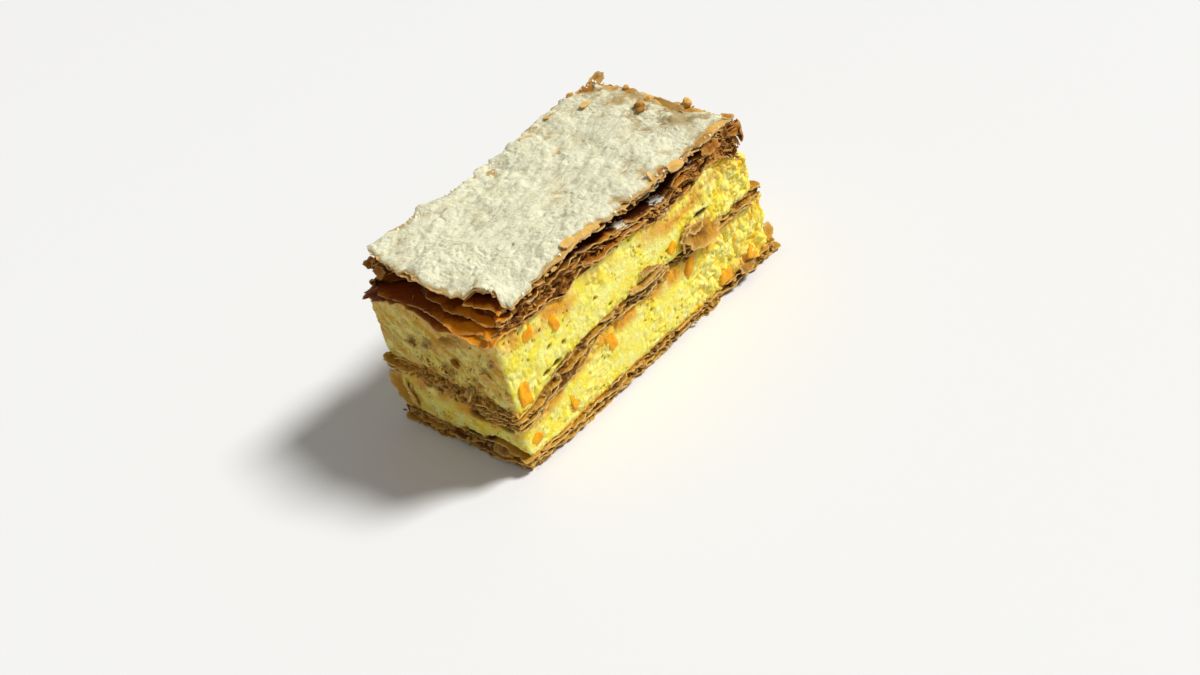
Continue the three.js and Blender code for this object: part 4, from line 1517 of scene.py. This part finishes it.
def make_crumbs():
    """The larger crumbs on the top, each at its place on the leaf."""
    pieces = []
    for k, ((x, y), size) in enumerate(LARGE_CRUMBS):
        piece = lump(f"large_crumb_{k}", 70 + k, rough=0.24, subdivisions=2)
        at = in_frame(on_the_leaf(x, y, 0.2 + 0.2 * size))
        piece.data.transform(Matrix.LocRotScale(at, None, Vector([size * share for share in CRUMB_SHAPE])))
        apply(piece, "SUBSURF", levels=1)
        pieces.append(piece)
    finish_piece(join("top_crumbs", pieces), SUGARED_PASTRY, angle=40)


def make_sugar_clumps():
    random = np.random.default_rng(38)
    surface = raised(sugared_surface, 0.3)

    def chance(x, y, out):
        return 0.2 + 1.2 * at_far_side(out) + 0.7 * at_near_end(out)

    spots = edge_spots(SUGARED_CORNERS, 160, 39, chance, surface, surface,
                       proud=(-2.4, -0.2), sizes=(0.5, 1.1), lean=3)
    for _ in range(120):
        x, y = random.uniform(-50, 46), random.uniform(-24, 27)
        turn = any_turn(random, 3)
        spots.append(((x, y, surface(x, y)), turn, random.uniform(0.4, 0.9), 0.0))
    shapes = [lump(f"sugar_clump_{k}", 90 + k, rough=0.34, subdivisions=1) for k in range(6)]
    finish_piece(copied("sugar_clumps", shapes, spots), SUGAR_CLUMP, angle=80)


make_bottom_pastry()
make_lower_cream()
make_middle_pastry()
make_upper_cream()
make_top_stack()
make_sugared_leaf()
make_sugar()
make_fruit("lower_fruit_dice", LOWER_FRUIT, 900)
make_fruit("upper_fruit_dice", UPPER_FRUIT, 950)
make_shards()
make_stack_curls()
make_fragments()
make_top_bits()
make_stack_flakes()
make_sheet_flakes()
make_rim_flakes()
make_crumbs()
make_sugar_clumps()


# Floor, light and camera
def turned_from(azimuth, elevation):
    """The turn of a camera or a light that looks at the slice from this azimuth and elevation."""
    a, e = math.radians(azimuth), math.radians(elevation)
    back = Vector((math.sin(a) * math.cos(e), -math.cos(a) * math.cos(e), math.sin(e)))
    return back.to_track_quat("Z", "Y").to_matrix()


def make_camera():
    data = bpy.data.cameras.new("camera")
    data.lens = CAMERA_LENS
    data.sensor_width = CAMERA_SENSOR
    data.clip_start = CAMERA_CLIP
    camera = add_object("camera", data)
    turn = turned_from(CAMERA_AZIMUTH, CAMERA_ELEVATION)
    turn = turn @ Matrix.Rotation(math.radians(CAMERA_ROLL), 3, "Z")
    camera.matrix_world = Matrix.Translation(Vector(CAMERA_PLACE) * MM) @ turn.to_4x4()
    bpy.context.scene.camera = camera


def make_light(name, azimuth, elevation, energy, spread, colour):
    """A far soft light: a sun whose wide spread gives soft shadows and an even floor."""
    data = bpy.data.lights.new(name, "SUN")
    data.energy = energy
    data.angle = math.radians(spread)
    data.color = colour
    add_object(name, data).matrix_world = turned_from(azimuth, elevation).to_4x4()


def make_floor():
    deselect()
    bpy.ops.mesh.primitive_plane_add(size=FLOOR_SIZE)
    floor = bpy.context.active_object
    floor.name = "floor"
    material, tree, shader = new_material("pale_floor")
    feed(tree, shader, {"Base Color": FLOOR_COLOUR, "Roughness": 0.8})
    floor.data.materials.append(material)


def make_world():
    world = bpy.data.worlds.new("studio")
    world.use_nodes = True
    tree = world.node_tree
    feed(tree, tree.nodes["Background"], {"Color": SKY_COLOUR, "Strength": SKY_STRENGTH})
    bpy.context.scene.world = world
    bpy.context.scene.view_settings.view_transform = "Standard"


make_camera()
make_light("key", azimuth=54, elevation=46, energy=3.8, spread=15, colour=KEY_COLOUR)
make_floor()
make_world()
